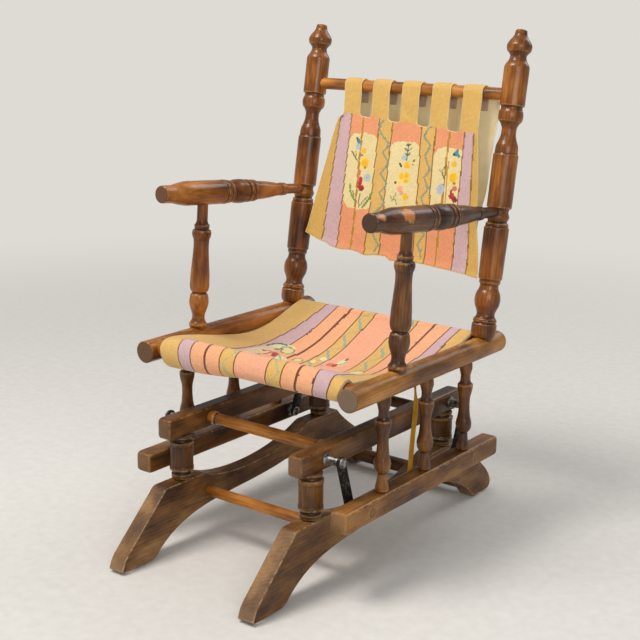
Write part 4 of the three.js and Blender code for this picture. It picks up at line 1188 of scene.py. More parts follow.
def thicken(face: Array, normal: Array, quads: Array, loop: Array, thickness: float) -> tuple[Array, list[Array]]:
    """Gives a sheet its thickness: the same quads on both sides of it, joined by a rounded edge.

    Args:
        face: points of the outer face.
        normal: outward directions at the same points.
        quads: the outer face's quads, seen anticlockwise from outside.
        loop: the numbers of the points round the sheet's edge, anticlockwise.
        thickness: in millimetres, inwards from the face.

    Returns:
        The points and the arrays of faces, the outer face first.
    """
    inner = face - normal * thickness
    middle = (face[loop] + inner[loop]) / 2
    ahead = np.roll(face[loop], -1, axis=0) - np.roll(face[loop], 1, axis=0)
    outward = np.cross(ahead, normal[loop])
    outward /= np.maximum(np.linalg.norm(outward, axis=1, keepdims=True), 1e-9)
    rings = [middle + outward * thickness * 0.45 * math.cos(t) + normal[loop] * thickness * 0.5 * math.sin(t)
             for t in (math.pi / 4, 0.0, -math.pi / 4)]
    count = len(face)
    ring = np.arange(len(loop))
    following = (ring + 1) % len(loop)
    ids = [loop, *(2 * count + k * len(loop) + ring for k in range(3)), count + loop]
    walls = [np.stack([b, b[following], a[following], a], axis=-1) for a, b in zip(ids[:-1], ids[1:])]
    return np.concatenate([face, inner, *rings]), [quads, quads[:, ::-1] + count, *walls]


def grid_normals(face: Array) -> Array:
    """Directions square to a grid of points: the cross product of its steps along rows and columns."""
    down = np.gradient(face, axis=0)
    across = np.gradient(face, axis=1)
    normal = np.cross(across, down)
    return normal / np.maximum(np.linalg.norm(normal, axis=-1, keepdims=True), 1e-9)


def thick_grid(face: Array, thickness: float) -> tuple[Array, list[Array]]:
    """Gives a whole grid of points its thickness, as thicken does.

    Args:
        face: points of the outer face, rows by columns.
        thickness: in millimetres.

    Returns:
        The points and the arrays of faces.
    """
    rows, columns = face.shape[:2]
    index = np.arange(rows * columns).reshape(rows, columns)
    loop = np.concatenate([index[0, :-1], index[:-1, -1], index[-1, :0:-1], index[:0:-1, 0]])
    normal = grid_normals(face).reshape(-1, 3)
    return thicken(face.reshape(-1, 3), normal, grid_faces(rows, columns), loop, thickness)


def both_sides(points: Array, flat: Array) -> Array:
    """Texture coordinates of a thickened sheet: the same on both faces, and none along its edge."""
    flat = flat.reshape(-1, 2)
    return np.concatenate([flat, flat, np.zeros((len(points) - 2 * len(flat), 2))])


class Wool(Enum):
    """The wools of the needlework."""

    MUSTARD = "#dcb062"
    BORDER = "#d0a556"
    TAB = "#d8ae5e"
    LILAC = "#ccaaac"
    SALMON = "#efab7c"
    ROSE = "#efa984"
    BLUSH = "#e6986c"
    LINE = "#6f3c28"
    THREAD = "#8f6a26"
    OCHRE = "#b5841e"
    CREAM = "#e6d29a"
    MINT = "#dce0b2"
    SAGE = "#7c9480"
    TEAL = "#6fa49a"
    LEAF = "#6f8f3e"
    MOSS = "#3f5a34"
    YELLOW = "#efb91f"
    STRAW = "#f2d066"
    RED = "#b3322b"
    WINE = "#8a2a26"
    CORAL = "#d9705c"
    SKY = "#a9bfcb"
    SEA = "#4f8b96"
    CANVAS = "#b79a72"
    LINEN = "#c9ad90"
    EDGE = "#ecd08a"


@dataclass
class Chart:
    """A needlework chart: a linear colour for each stitch, worked in by shapes.

    Each shape is a formula of the stitch's place across and along the cloth, in millimetres.
    """

    across: Array
    along: Array
    seed: int

    def __post_init__(self) -> None:
        """Starts with plain mustard wool, and makes the unevenness that hand work has."""
        self.colour = np.tile(np.array(srgb(Wool.MUSTARD.value)), (*self.across.shape, 1))
        self.waver = ripple(self.seed, self.across / 9, self.along / 9, size=2.0)

    def work(self, inside: Array, wool: Wool, cover: float = 1.0) -> None:
        """Works the stitches inside a shape in one wool."""
        strength = (np.asarray(inside, float) * cover)[..., None]
        self.colour = self.colour * (1 - strength) + np.array(srgb(wool.value)) * strength

    def stripes(self, edges: Sequence[tuple[tuple[float, ...], Wool]], at: Sequence[float], line: Wool,
                width: float) -> None:
        """Works stripes from left to right, each from its edge on, with a dark line at the edge.

        Args:
            edges: for each stripe, where its left edge is at each of the places along, and its wool.
            at: the places along, rising; an edge runs straight from one to the next.
            line: the wool of the lines between.
            width: how wide the lines are.
        """
        places = [np.interp(self.along, at, own) + 0.3 * self.waver for own, _ in edges]
        for place, (_, wool) in zip(places, edges):
            self.work(self.across > place, wool)
        for place in places:
            self.work(np.abs(self.across - place) < width / 2, line)

    def petal(self, x: float, y: float, wide: float, tall: float, turn: float, wool: Wool,
              cover: float = 1.0) -> None:
        """Works an oval: distance from its centre, turned and divided by its half sizes, below one."""
        c, s = math.cos(math.radians(turn)), math.sin(math.radians(turn))
        dx, dy = self.across - x, self.along - y
        u, v = (dx * c + dy * s) / wide, (dy * c - dx * s) / tall
        self.work(u ** 2 + v ** 2 + 0.12 * self.waver < 1, wool, cover)

    def petals(self, *ovals: tuple) -> None:
        """Works several ovals, each given as petal's own arguments."""
        for oval in ovals:
            self.petal(*oval)

    def stem(self, points: Sequence[tuple[float, float]], width: float, wool: Wool, cover: float = 1.0) -> None:
        """Works a line: stitches nearer than half its width to any of its straight pieces."""
        near = np.full(self.across.shape, False)
        for (x0, y0), (x1, y1) in zip(points[:-1], points[1:]):
            dx, dy = x1 - x0, y1 - y0
            t = clamp(((self.across - x0) * dx + (self.along - y0) * dy) / (dx * dx + dy * dy))
            near |= np.hypot(self.across - x0 - t * dx, self.along - y0 - t * dy) < width / 2
        self.work(near, wool, cover)

    def medallion(self, x: float, y: float, wide: float, tall: float, within: Array) -> None:
        """Works a cream ground with blunt round ends: the fourth powers of the offsets over the half sizes."""
        reach = np.abs((self.across - x) / wide) ** 4 + np.abs((self.along - y) / tall) ** 4
        self.work((reach + 0.08 * self.waver < 1) & within, Wool.CREAM)


@dataclass
class SeatSling:
    """The needlework sling over the front and rear seat rails."""

    half_width: float = 160.5
    thickness: float = 4.5
    rail_radius: float = 11.0
    edge_sag: float = 29.0
    middle_sag: float = 53.0
    edge_dip: float = 6.8
    crown_fade: float = 70.0
    stitch: float = 2.0

    @property
    def loop_radius(self) -> float:
        """The outer face's radius where it goes round a rail."""
        return self.rail_radius + FIT_GAP + self.thickness

    def section(self, across: Array) -> tuple[Array, Array]:
        """Works out the outer face row by row: round the front rail, along the sagging span, round the rear rail.

        The sag is its depth times the sine of pi times the place along, to a power from 1 at mid width to 1.25
        at the edges, and near the edges the place along is itself raised to a power, so that the sag lies
        further back. The depth goes from the edge's to the middle's by (1 - across^2)^1.7. Behind the front rail
        the right edge turns down beside the side rail. Each end of the span lies on the cloth's circle round its
        rail wherever the rest alone would cut into that. Over the front rail the loop is loose: it stands up by
        its crown, which is nothing at both edges and fades out along the span, and at the left it hangs lower.

        Args:
            across: places across the cloth, from -1 to 1.

        Returns:
            Y and Z, rows by columns.
        """
        radius = self.loop_radius
        front = np.radians(np.arange(-75, 84, 6.0))[:, None]
        rear = np.radians(np.arange(96, 205, 6.0))[:, None]
        steps = np.linspace(0.01, 0.99, 170)[:, None]
        a = across[None, :]
        depth = self.edge_sag + (self.middle_sag - self.edge_sag) * (1 - a ** 2) ** 1.7
        lift = 0.9 * ripple(21, a * 3 + 0 * steps, steps * 4, size=3.0) * np.sin(math.pi * steps)
        y = FRONT_RAIL_Y + steps * (REAR_RAIL_Y - FRONT_RAIL_Y)
        back = y - FRONT_RAIL_Y
        skew = 1 + 0.36 * clamp((np.abs(a) - 0.72) / 0.26)
        z = CROSS_RAIL_Z + radius - depth * np.sin(math.pi * steps ** skew) ** (1.0 + 0.25 * a ** 2) + lift
        z = z - (self.edge_dip * clamp((a - 0.84) / 0.15) ** 1.3 * clamp((back - 2.0) / 12.0)
                 * clamp((110.0 - back) / 60.0))
        off_rail = np.minimum(back, REAR_RAIL_Y - y)
        on_rail = CROSS_RAIL_Z + np.sqrt(np.maximum(radius ** 2 - off_rail ** 2, 0))
        z = np.where(off_rail < 10.0, np.maximum(z, on_rail), z)
        crown = smooth_line(((-1, 0.0), (-0.7, 6.0), (0.75, 6.0), (1, 0.0)), a)
        hang = smooth_line(((-1, 8.5), (-0.58, 7.0), (-0.3, 3.5), (-0.05, 0.0), (1, 0.0)), a)
        z = z + crown * np.cos(math.pi / 2 * clamp(back / self.crown_fade)) ** 2
        loop = CROSS_RAIL_Z + radius * np.sin(front) + crown * clamp(np.sin(front)) - hang * clamp(-np.sin(front))
        ones = np.ones_like(a)
        y = np.concatenate([(FRONT_RAIL_Y - radius * np.cos(front)) * ones, y * ones,
                            (REAR_RAIL_Y - radius * np.cos(rear)) * ones])
        z = np.concatenate([loop, z, (CROSS_RAIL_Z + radius * np.sin(rear)) * ones])
        return y, z

    def build(self) -> None:
        columns = round(2 * self.half_width / self.stitch) + 1
        across = np.linspace(-1, 1, columns)
        y, z = self.section(across)
        middle = columns // 2
        along = np.concatenate([[0.0], np.cumsum(np.hypot(np.diff(y[:, middle]), np.diff(z[:, middle])))])
        rows = round(along[-1] / self.stitch) + 1
        even = np.linspace(0, along[-1], rows)
        y, z = (np.stack([np.interp(even, along, column) for column in line.T], axis=1) for line in (y, z))
        # The cloth draws in below the front rail, and its left edge is pulled in along the front.
        draw_in = 1 - 0.06 * clamp(1 - even / 34.0)[:, None] ** 1.5
        pulled = 6.0 * clamp(1 - (even[:, None] - 40.0) / 60.0) ** 2 * clamp((-across[None, :] - 0.7) / 0.3)
        x = self.half_width * across[None, :] * draw_in + 0.4 * ripple(5, even / 45, size=1.5)[:, None] + pulled
        face = np.stack([x, y, z], axis=-1)
        points, faces = thick_grid(face, self.thickness)
        # The chart's places along are y on the span, and go on round both rails by length.
        front_arc, rear_arc = math.radians(165), math.radians(112)
        front_top, rear_top = front_arc * self.loop_radius, along[-1] - rear_arc * self.loop_radius
        flat = np.interp(even, [0, front_top, rear_top, along[-1]],
                         [FRONT_RAIL_Y - front_top, FRONT_RAIL_Y, REAR_RAIL_Y, REAR_RAIL_Y + along[-1] - rear_top])
        chart = self.chart(*np.meshgrid(self.half_width * (across[:-1] + across[1:]) / 2,
                                        (flat[:-1] + flat[1:]) / 2))
        plain = np.tile(np.array(srgb(Wool.CANVAS.value)), (sum(len(f) for f in faces[1:]), 1))
        wool = np.concatenate([chart.colour.reshape(-1, 4), plain])
        stitches = np.stack(np.meshgrid(np.arange(columns), np.arange(rows)), axis=-1)
        piece = put_mesh("needlework_seat", points, faces, NEEDLEWORK, "seat_frame",
                         uv=both_sides(points, stitches * self.stitch * MM), wool=wool)
        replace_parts(piece, "seat_cloth")
        log.info("seat sling: %d stitches", chart.across.size)

    def chart(self, x: Array, y: Array) -> Chart:
        """Works the seat's chart: stripes between dark lines, two vines and a garland near the front."""
        chart = Chart(x, y, seed=8)
        at = (FRONT_RAIL_Y, 50.0, REAR_RAIL_Y)
        chart.stripes((((-121.5, -115, -106), Wool.LILAC), ((-98, -87, -85), Wool.SALMON),
                       ((-43, -36, -34.5), Wool.MUSTARD), ((-17.5, -14, -11), Wool.ROSE),
                       ((39, 39, 41), Wool.MUSTARD), ((64.6, 70, 66), Wool.SALMON),
                       ((118.5, 122, 124), Wool.LILAC), ((143, 142, 139), Wool.MUSTARD)), at, Wool.LINE, 2.1)
        for own in ((-70.5, -60, -59), (91, 95, 96)):
            chart.work(np.abs(x - np.interp(y, at, own) + 0.3 * chart.waver) < 2.1, Wool.LINE)
        for middle, first in (((-30, -24), -194.0), ((51.5, 54.5), -207.0)):
            for start in np.arange(first, 170.0, 40.0):
                self.tendril(chart, float(np.interp(start, (FRONT_RAIL_Y, 50.0), middle)), start)
        self.garland(chart)
        return chart

    @staticmethod
    def tendril(chart: Chart, middle: float, start: float) -> None:
        """Works one length of a vine: a bold slanting stroke across its stripe and a thin one on to the next."""
        cover = 0.45 if start < FRONT_RAIL_Y + 20 else 0.75
        chart.stem([(middle + 8, start), (middle + 2, start + 9), (middle - 7, start + 19)], 4.2, Wool.TEAL, cover)
        chart.stem([(middle - 7, start + 19), (middle - 4, start + 27), (middle + 4, start + 32),
                    (middle + 8, start + 40)], 2.2, Wool.TEAL, 0.7 * cover)

    @staticmethod
    def garland(chart: Chart) -> None:
        """Works the swag across the stripes: a pale ground, curled leaves, beads and two red flowers."""
        w = Wool
        chart.petals(
            (-101, -4, 11, 40, -8, w.CREAM, 0.65), (-108, -62, 10, 16, -10, w.MINT, 0.5),
            (-97, -33, 8, 7, 0, w.STRAW, 0.7), (-88, 34, 17, 9, 30, w.MINT, 0.8),
            (-79, 28, 10, 11, 0, w.CREAM, 0.95), (-66, 0, 9, 9, -20, w.MINT, 0.85),
            (-46, 17, 6, 6, 0, w.CREAM, 0.9), (-30, 30, 5, 5, 0, w.CREAM), (-23, 44, 6, 6, 30, w.MINT, 0.9),
            (11, 44, 7, 11, 0, w.MINT, 0.9), (62, 14, 13, 7, -20, w.CREAM, 0.9),
            (98, -28, 14, 7, -30, w.STRAW, 0.7))
        chart.stem([(-109, 18), (-106, 31), (-99, 38), (-90, 41)], 3.4, w.MOSS, 0.9)
        chart.stem([(-92, 30), (-84, 39), (-72, 38), (-68, 29), (-72, 20), (-81, 18), (-88, 26)], 2.4, w.LEAF, 0.9)
        chart.stem([(-93, 19), (-87, 27)], 4.0, w.MOSS)
        chart.stem([(-76, 8), (-69, 2), (-61, -6)], 3.4, w.TEAL, 0.8)
        chart.stem([(-53, 8), (-53, 20), (-46, 24), (-41, 18), (-46, 11)], 2.0, w.LEAF, 0.9)
        chart.stem([(-37, 22), (-36, 31)], 4.0, w.LEAF, 0.7)
        chart.stem([(6, 36), (13, 40), (17, 48)], 2.6, w.LEAF, 0.9)
        chart.stem([(52, 17), (58, 25), (66, 23), (74, 14)], 2.2, w.LEAF, 0.8)
        chart.stem([(80, -4), (86, -12), (96, -14), (104, -24)], 2.2, w.OCHRE, 0.5)
        chart.stem([(-100, 1), (-94, 8), (-87, 8)], 3.2, w.CORAL)
        chart.petals(
            (-82, 6, 5, 6, 0, w.RED), (-78, -1, 4, 4, 0, w.WINE), (-99, 1, 3, 3, 0, w.RED),
            (-2, 33, 6, 6, 0, w.CORAL), (6, 33, 4, 5, 0, w.RED), (12, 55, 2, 5, 0, w.WINE),
            (-9, 24, 4, 4, 0, w.LILAC))


@dataclass
class BackPanel:
    """The needlework back: a tapering panel with five tabs over the top rail, and its cotton lining.

    Its shapes are drawn in the raked plane of the back posts: across, and up from the seat rails' height.
    """

    thickness: float = 2.5
    stitch: float = 1.8
    front: float = -11.8
    tab_width: float = 28.5
    tab_tail: float = 24.0
    foot_pitch: float = 52.9
    foot_offset: float = 13.06
    rail_pitch: float = 53.4
    rail_offset: float = 10.5
    tab_cells: int = 24
    gap_cells: int = 6
    corner: float = 7.0
    tail_from: float = 85.0
    blend_over: float = 12.0

    @staticmethod
    def place(x: Array, off: Array, up: Array) -> Array:
        """Puts points of the raked back into the frame: across, off its plane towards the rear, and up it."""
        c, s = math.cos(BACK_RAKE), math.sin(BACK_RAKE)
        return np.stack(np.broadcast_arrays(x, BACK_FOOT_Y + off * c + up * s, SEAT_Z - off * s + up * c), axis=-1)

    @staticmethod
    def top_line(x: Array) -> Array:
        """The height where the tabs begin, which falls to the right and is cut off at the left corner."""
        return 313.4 - 0.069 * x - 8.0 * clamp((-106.0 - x) / 12.0) ** 1.5

    @staticmethod
    def hem_line(x: Array) -> Array:
        """The wavy lower edge."""
        return smooth_line(((-160, 132.5), (-156, 131), (-138, 125.5), (-122.7, 120.7), (-116.6, 119.8),
                            (-102.7, 114.5), (-82.9, 112.5), (-68, 113.5), (-52.9, 112), (-37.6, 108.7),
                            (-17.1, 111.3), (-0.6, 111.7), (10.4, 106.3), (56.3, 109), (98, 106.5), (138.4, 103.4),
                            (161.4, 100)), x)

    def feet(self) -> list[tuple[float, float, float, float]]:
        """Each tab's middle at its foot and at the rail, and how far its foot flares to either side."""
        return [(self.foot_offset + k * self.foot_pitch, self.rail_offset + k * self.rail_pitch,
                 10.0 if k == -2 else self.corner, 0.6 if k == 2 else self.corner) for k in range(-2, 3)]

    def panel(self) -> tuple[Array, Array, Array]:
        """Draws the panel's grid from the hem up: across, off and up, rows by columns."""
        marks = []
        half = self.tab_width / 2
        for foot, _, left, right in self.feet():
            start, end = foot - half - left, foot + half + right
            if marks:
                marks += list(np.linspace(marks[-1], start, self.gap_cells + 1)[1:-1])
            marks += list(np.linspace(start, end, self.tab_cells + 1))
        top_x = np.array(marks)
        share = (top_x - top_x[0]) / (top_x[-1] - top_x[0])
        rows = 112
        t = np.linspace(0, 1, rows)[:, None]
        left_edge = smooth_line(((0, -156), (0.3, -144.6), (0.59, -133.7), (0.76, -127.2), (0.93, -120.8),
                                 (1, top_x[0])), t)
        right_edge = smooth_line(((0, 161.4), (0.08, 160), (0.375, 149.5), (0.55, 146.2), (0.78, 140.3),
                                  (1, top_x[-1])), t)
        x = left_edge + share[None, :] * (right_edge - left_edge)
        hem, top = self.hem_line(x[:1]), self.top_line(x[-1:])
        up = hem + t * (top - hem)
        fold = 1.5 * ripple(31, x / 60, up / 130, size=1.6) * np.sin(math.pi * np.clip(t, 0, 0.97) * 0.75 + 0.6)
        curl = (1.6 * np.exp(-((up - hem) / 5.0) ** 2)
                + 1.2 * ripple(33, x / 16, 0 * x, size=2.0) * np.exp(-((up - hem) / 14.0) ** 2))
        return x, self.front - (fold + curl) * clamp(3 - 3 * t), up

    def tab(self, number: int, row: Array) -> tuple[Array, Array, Array, Array]:
        """Draws one tab's grid from its foot, over the rail and down behind it.

        A foot's corner is a quarter circle: the half width grows by r - sqrt(r^2 - (r - s)^2) below the height r.

        Args:
            number: counted from the left.
            row: the panel's top row within the foot, as (across, up).

        Returns:
            Across, off, up, and the length along from the foot, rows by columns.
        """
        foot, rail, left, right = self.feet()[number]
        foot_up = float(self.top_line(np.array(foot)))
        straight_up = TOP_RAIL_ALONG - foot_up
        radius = -self.front
        total = straight_up + math.pi * radius + self.tab_tail
        near = np.array([0.0, 0.35, 0.9, 1.7, 2.8, 4.2, 5.6, 7.0, 8.6])
        s = np.concatenate([near, np.linspace(10.4, total, 62)])[:, None]
        side = np.linspace(-1, 1, self.tab_cells + 1)[None, :]
        reach = np.where(side < 0, left, right)
        grow = reach - np.sqrt(np.maximum(reach ** 2 - np.maximum(reach - s, 0) ** 2, 0))
        middle = foot + (rail - foot) * clamp(s / straight_up)
        half = self.tab_width / 2 + 0.8 * clamp(s / straight_up)
        uneven = 0.5 * ripple(60 + number, s / 22, size=1.8) * clamp(s / self.blend_over)
        x = middle + side * (half + grow) + uneven
        blend = clamp(1 - s / self.blend_over)
        x = x * (1 - blend) + blend * (x - x[:1] + row[None, :, 0])
        turn = np.clip((s - straight_up) / radius, 0, math.pi)
        over = np.maximum(s - straight_up - math.pi * radius, 0)
        start_up = row[None, :, 1] * blend + (1 - blend) * foot_up
        up = np.minimum(s, straight_up) + start_up - over + radius * np.sin(turn)
        off = (-radius * np.cos(turn)
               - 0.5 * ripple(70 + number, s / 18, side, size=2.0) * clamp(s / 9) * (turn <= 0))
        return x, off + 0 * x, up + 0 * x, s + 0 * x

    def build(self) -> None:
        """Makes the panel with its tabs as one sheet, works its chart, and hangs the lining behind."""
        x, off, up = self.panel()
        rows, columns = x.shape
        face = [self.place(x, off, up)]
        normal = [grid_normals(face[0])]
        index = np.arange(rows * columns).reshape(rows, columns)
        quads = [grid_faces(rows, columns)]
        place = [np.stack([x, up, 0 * x], axis=-1)]
        stitch = [np.stack([index % columns, index // columns], axis=-1)]
        loop = [index[0, :-1], index[:-1, -1]]
        count = rows * columns
        for number in range(4, -1, -1):
            first = number * (self.tab_cells + self.gap_cells)
            foot = index[-1, first:first + self.tab_cells + 1]
            row = np.stack([x[-1], up[-1]], axis=-1)[first:first + self.tab_cells + 1]
            tx, toff, tup, s = self.tab(number, row)
            grid = self.place(tx, toff, tup)
            ids = np.concatenate([foot[None], count + np.arange((len(s) - 1) * len(foot)).reshape(-1, len(foot))])
            quads.append(ids.ravel()[grid_faces(*ids.shape)])
            own_stitch = np.stack([first + np.arange(len(foot)) + 0 * s, rows - 1 + s / self.stitch], axis=-1)
            for store, values in ((face, grid), (normal, grid_normals(grid)),
                                  (place, np.stack([tx, tup, s], axis=-1)), (stitch, own_stitch)):
                store.append(values[1:])
            count += (len(s) - 1) * len(foot)
            loop += [ids[:-1, -1], ids[-1, :0:-1], ids[:0:-1, 0]]
            if number:
                loop.append(foot[:1] - np.arange(self.gap_cells))
        loop.append(index[-1:0:-1, 0])
        face, normal, place, stitch = (np.concatenate([v.reshape(-1, v.shape[-1]) for v in values])
                                       for values in (face, normal, place, stitch))
        loop = np.concatenate(loop)
        loop = loop[loop != np.roll(loop, 1)]
        quads = np.concatenate(quads)
        points, faces = thicken(face, normal, quads, loop, self.thickness)
        centre = place[quads].mean(axis=1)
        chart = self.chart(*centre.T)
        edges = np.concatenate([f[:, 0] for f in faces[2:]])
        tail = np.concatenate([place[:, 2], place[:, 2], np.tile(place[loop, 2], 3)]) > self.tail_from
        sides = [np.where(tail[corners][:, None], srgb(Wool.LINEN.value), srgb(wool.value))
                 for wool, corners in ((Wool.CANVAS, faces[1][:, 0]), (Wool.EDGE, edges))]
        piece = put_mesh("needlework_back", points, faces, NEEDLEWORK, "seat_frame",
                         uv=both_sides(points, stitch * NEEDLEWORK.pitch),
                         wool=np.concatenate([chart.colour, *sides]))
        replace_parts(piece, "back_cloth")
        self.lining()

    def lining(self) -> None:
        """Makes the cotton lining, sewn behind the tabs and hanging in soft folds."""
        rows, columns = 100, 110
        t = np.linspace(0, 1, rows)[:, None]
        share = np.linspace(0, 1, columns)[None, :]
        left = smooth_line(((0, -139), (0.5, -130), (0.8, -123), (1, -116.6)), t)
        right = smooth_line(((0, 136), (0.25, 139), (0.44, 146), (0.68, 147.5), (0.91, 150.7), (1, 147)), t)
        x = left + share * (right - left)
        up = 118.0 + 250.0 * t + 2.0 * ripple(41, x / 50, 0 * x, size=1.5) * (1 - t)
        fold = 1.6 * ripple(43, x / 24, up / 160, size=1.8) + 1.0 * ripple(44, x / 11, up / 90, size=2.0)
        off = 13.4 + np.abs(fold) * (0.35 + 0.65 * (1 - t))
        # Seen from behind, the columns run the other way.
        points, faces = thick_grid(self.place(x, off, up)[:, ::-1], 1.1)
        uv = both_sides(points, np.stack([x[:, ::-1], up], axis=-1) * MM)
        piece = put_mesh("cotton_back_lining", points, faces, LINING, "seat_frame", uv=uv)
        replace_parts(piece, "back_lining")

    def chart(self, x: Array, up: Array, along_tab: Array) -> Chart:
        """Works the back's chart: stripes, two zigzag vines, three medallions of flowers, and plain tabs."""
        chart = Chart(x, up, seed=9)
        chart.work(True, Wool.BORDER)
        chart.stripes((((-122.7, -113.5), Wool.LILAC), ((-92.5, -92.2), Wool.BLUSH), ((-39.4, -39), Wool.MUSTARD),
                       ((-12.5, -14.9), Wool.BLUSH), ((48.5, 37.8), Wool.MUSTARD), ((70.1, 62.4), Wool.BLUSH),
                       ((118.5, 112.5), Wool.LILAC), ((143.4, 127.7), Wool.BORDER)), (115, 310), Wool.THREAD, 2.1)
        drop = (310 - up) / 195
        for at, wide, tall, start, end, low, high in (
            ((-64, 235.5), 31, 58.5, -92.2, -39, -0.3, -0.4), ((15, 233), 32, 54, -14.9, 37.8, 2.4, 10.7),
            ((92, 229), 30, 55, 62.4, 112.5, 7.7, 6.0),
        ):
            chart.medallion(*at, wide, tall, (x > start + low * drop + 1) & (x < end + high * drop - 1))
        for start, end in ((-69.2, -65.9), (86.8, 89.6)):
            chart.work(np.abs(x - start - (end - start) * drop + 0.3 * chart.waver) < 1.7, Wool.OCHRE)
        self.flowers(chart)
        self.vines(chart)
        chart.work(along_tab > 3.0 + 0.5 * chart.waver, Wool.TAB)
        return chart

    @staticmethod
    def vines(chart: Chart) -> None:
        """Works a zigzag vine down each of the two narrow mustard stripes."""
        left = [
            (-31, 316), (-37.5, 310), (-38.3, 304), (-34, 296), (-25, 288), (-18, 282), (-20, 275),
            (-26.8, 268.5), (-22, 261), (-15, 254), (-18, 245), (-26.2, 235.4), (-20, 228), (-12.5, 221.4),
            (-16, 214), (-24.3, 206.6), (-20, 200), (-12.5, 192.5), (-17, 185), (-26, 176), (-22, 168),
            (-13, 160), (-19, 151), (-28, 143), (-22, 134), (-15, 126), (-22, 116)]
        right = [
            (58, 314), (50, 309), (44, 298), (45, 295), (51, 290), (56.3, 285), (54, 277), (49.5, 269),
            (53, 261), (59, 252), (59.3, 246), (55, 240), (52.2, 236), (57, 228), (60.3, 220), (57, 213),
            (50, 206), (54, 199), (60, 191), (63, 183), (56, 175), (52, 167), (58, 159), (64, 151), (58, 143),
            (54, 135), (60, 126), (63, 116)]
        for points in (left, right):
            chart.stem(points, 3.0, Wool.SAGE, 0.85)
            for x, y in points[2::4]:
                chart.stem([(x, y), (x + 3.5, y + 3)], 1.9, Wool.SEA, 0.7)

    @staticmethod
    def flowers(chart: Chart) -> None:
        """Works the flowers, buds, twigs and leaves of the three medallions."""
        w = Wool
        chart.stem([(-80.8, 213), (-79, 203), (-74.5, 195), (-70, 190)], 3.2, w.LEAF, 0.9)
        chart.stem([(-74, 203), (-71.5, 194), (-67, 185)], 2.4, w.LEAF)
        chart.stem([(-60.5, 200), (-62, 190), (-60, 181)], 2.4, w.MOSS, 0.8)
        chart.stem([(-38.8, 206), (-42, 197), (-47, 189), (-53, 181)], 3.6, w.LEAF)
        chart.stem([(-47, 197), (-53, 190), (-57, 184)], 2.0, w.MOSS, 0.7)
        chart.petals(
            (-73.5, 281, 3.6, 5.0, 20, w.SEA), (-77, 285, 2.2, 2.4, 0, w.MOSS), (-73, 272, 4.4, 4.2, 0, w.SKY),
            (-62, 267, 4.2, 4.4, 0, w.YELLOW), (-64.5, 260.5, 2.4, 2.6, 0, w.OCHRE),
            (-58, 249, 8.6, 9.4, 0, w.STRAW), (-57.5, 248, 6.0, 6.8, 0, w.YELLOW),
            (-57.5, 241.5, 2.4, 2.0, 0, w.OCHRE), (-65.5, 233.5, 1.8, 4.6, 0, w.CORAL),
            (-64, 221, 5.6, 6.6, 0, w.RED), (-66.5, 222.5, 2.4, 4.0, 0, w.CORAL),
            (-61, 211, 6.6, 4.2, 0, w.RED), (-59.5, 207.5, 4.2, 3.0, 0, w.WINE),
            (-51, 226.5, 6.4, 5.8, 0, w.SKY), (-51, 227, 2.0, 2.0, 0, w.LILAC))
        chart.stem([(-84, 265), (-79, 260), (-75, 254), (-70, 250)], 1.9, w.MOSS, 0.8)
        chart.stem([(-76, 266), (-75, 258)], 1.9, w.WINE, 0.6)
        # The middle medallion.
        chart.stem([(17.8, 283), (18.6, 270), (18.8, 260)], 2.4, w.SEA)
        for x, y, reach in ((18, 280, 4), (18.4, 273, 5), (18.7, 266, 4)):
            chart.stem([(x - reach, y + 3), (x, y), (x + reach, y + 4)], 1.9, w.MOSS, 0.85)
        chart.petals(
            (13.5, 262, 4.8, 3.8, 0, w.SKY), (20.6, 251.5, 5.6, 4.6, 0, w.YELLOW),
            (26.5, 254, 3.4, 2.6, 0, w.STRAW), (18, 233.5, 10.5, 8.8, 0, w.STRAW),
            (12.4, 234, 3.4, 3.8, 0, w.YELLOW), (21.6, 236.5, 4.0, 4.2, 0, w.YELLOW),
            (20.6, 227.5, 4.2, 3.4, 0, w.YELLOW), (11, 226, 3.6, 3.6, 0, w.STRAW),
            (12.4, 215, 5.4, 5.2, 0, w.ROSE), (16, 209, 3.4, 3.6, 0, w.CORAL, 0.5),
            (23.6, 204, 4.6, 5.2, 0, w.YELLOW), (24.6, 193, 3.4, 5.4, 0, w.STRAW),
            (3.5, 224, 2.0, 2.2, 0, w.MOSS), (8.6, 251, 1.9, 3.2, 30, w.MOSS),
            (31.4, 259.5, 2.2, 1.9, 0, w.MOSS), (29.5, 253.5, 1.5, 1.7, 0, w.WINE))
        chart.stem([(-3.5, 204), (0.4, 197), (5.5, 199), (9.2, 192)], 2.0, w.LEAF, 0.8)
        chart.stem([(5, 208), (3, 200)], 1.9, w.MOSS, 0.6)
        # The right medallion.
        chart.petals(
            (103.5, 277, 3.6, 5.4, -20, w.SEA), (107.5, 272.5, 2.6, 2.6, 0, w.SEA),
            (99.6, 274, 2.0, 2.6, 0, w.MOSS), (101.2, 260, 4.6, 4.6, 0, w.YELLOW),
            (101.6, 240.8, 8.8, 9.0, 0, w.STRAW), (102, 240.5, 6.2, 6.6, 0, w.YELLOW),
            (105.6, 232.5, 2.8, 2.2, 0, w.OCHRE), (107, 224.5, 4.4, 4.0, 0, w.CORAL),
            (103.6, 213.5, 5.0, 4.8, 20, w.RED), (109.6, 208.5, 4.6, 4.8, 0, w.WINE),
            (101.6, 220.4, 2.2, 2.2, 0, w.RED), (83.2, 222, 6.4, 7.4, 0, w.SKY),
            (83.2, 222.6, 2.2, 2.4, 0, w.LILAC))
        chart.stem([(88, 257), (82, 249), (86, 240)], 1.9, w.MOSS, 0.8)
        chart.stem([(78, 249), (84, 243), (88, 236)], 1.9, w.MOSS, 0.7)
        chart.stem([(92, 262), (91, 246), (92.5, 228), (94, 204)], 2.4, w.OCHRE, 0.8)


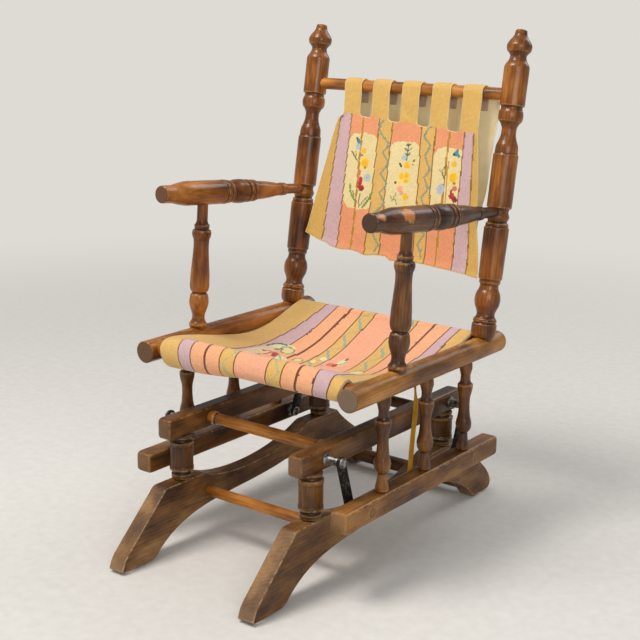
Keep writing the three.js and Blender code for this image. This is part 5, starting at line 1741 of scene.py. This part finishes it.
@dataclass
class TieTape:
    """The yellow cotton tape that hangs from the sling's edge on the right.

    Its route is the CAD tape's own points, joined by a smooth line.
    """

    width: float = 7.0
    thickness: float = 1.4
    route: tuple[tuple[float, float, float], ...] = (
        (150.0, 28.0, 261.76), (149.04, 28.96, 250.56), (150.96, 29.92, 215.36), (149.04, 28.0, 168.96),
        (148.08, 25.28, 122.56), (148.08, 24.32, 101.76))

    def build(self) -> None:
        """Makes the tape: a flat oval swept along its route, with a twist near the top."""
        route = np.array(self.route)
        length = np.concatenate([[0.0], np.cumsum(np.linalg.norm(np.diff(route, axis=0), axis=1))])
        steps = np.linspace(0, length[-1], 24)
        path = np.stack([smooth_line(tuple(zip(length, route[:, k])), steps) for k in range(3)], axis=-1)
        fine = np.linspace(0, length[-1], 140)
        line = np.stack([np.interp(fine, steps, path[:, k]) for k in range(3)], axis=-1)
        share = fine / length[-1]
        facing = np.radians(36 + 40 * np.exp(-((share - 0.16) / 0.09) ** 2) + 14 * np.sin(share * 9))
        sideways = np.stack([np.cos(facing), np.sin(facing), 0 * facing], axis=-1)
        ahead = np.gradient(line, axis=0)
        ahead /= np.linalg.norm(ahead, axis=1, keepdims=True)
        sideways -= ahead * np.sum(sideways * ahead, axis=1, keepdims=True)
        square = np.cross(ahead, sideways)
        turn = np.linspace(0, 2 * math.pi, 20, endpoint=False)
        narrow = 1 - 0.25 * np.exp(-((share - 0.16) / 0.07) ** 2)
        ring = (line[:, None] + (self.width / 2 * narrow)[:, None, None] * np.cos(turn)[None, :, None]
                * sideways[:, None] + self.thickness / 2 * np.sin(turn)[None, :, None] * square[:, None])
        count, around = ring.shape[:2]
        points = np.concatenate([ring.reshape(-1, 3), line[[0, -1]]])
        number = np.arange(around)
        following = (number + 1) % around
        last = (count - 1) * around
        caps = [np.stack([following, number, np.full(around, count * around)], axis=-1),
                np.stack([last + number, last + following, np.full(around, count * around + 1)], axis=-1)]
        uv = np.stack(np.broadcast_arrays(self.width * np.cos(turn)[None] / 2, fine[:, None]), axis=-1)
        uv = np.concatenate([uv.reshape(-1, 2), [[0, 0], [0, fine[-1]]]]) * MM
        piece = put_mesh("cotton_tie_tape", points, [grid_faces(count, around, wrap=True), *caps], TAPE,
                         "seat_frame", uv=uv)
        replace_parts(piece, "tie_tape")


def main() -> None:
    """Builds the chair's looks, piece by piece."""
    logging.basicConfig(level=logging.INFO, format="%(name)s: %(message)s")
    Camera().place()
    TieTape().build()
    Studio().build()
    SledgeBase().build()
    IronLinks().build()
    SeatFrame().build()
    SeatSling().build()
    BackPanel().build()


if __name__ == "__main__":
    main()
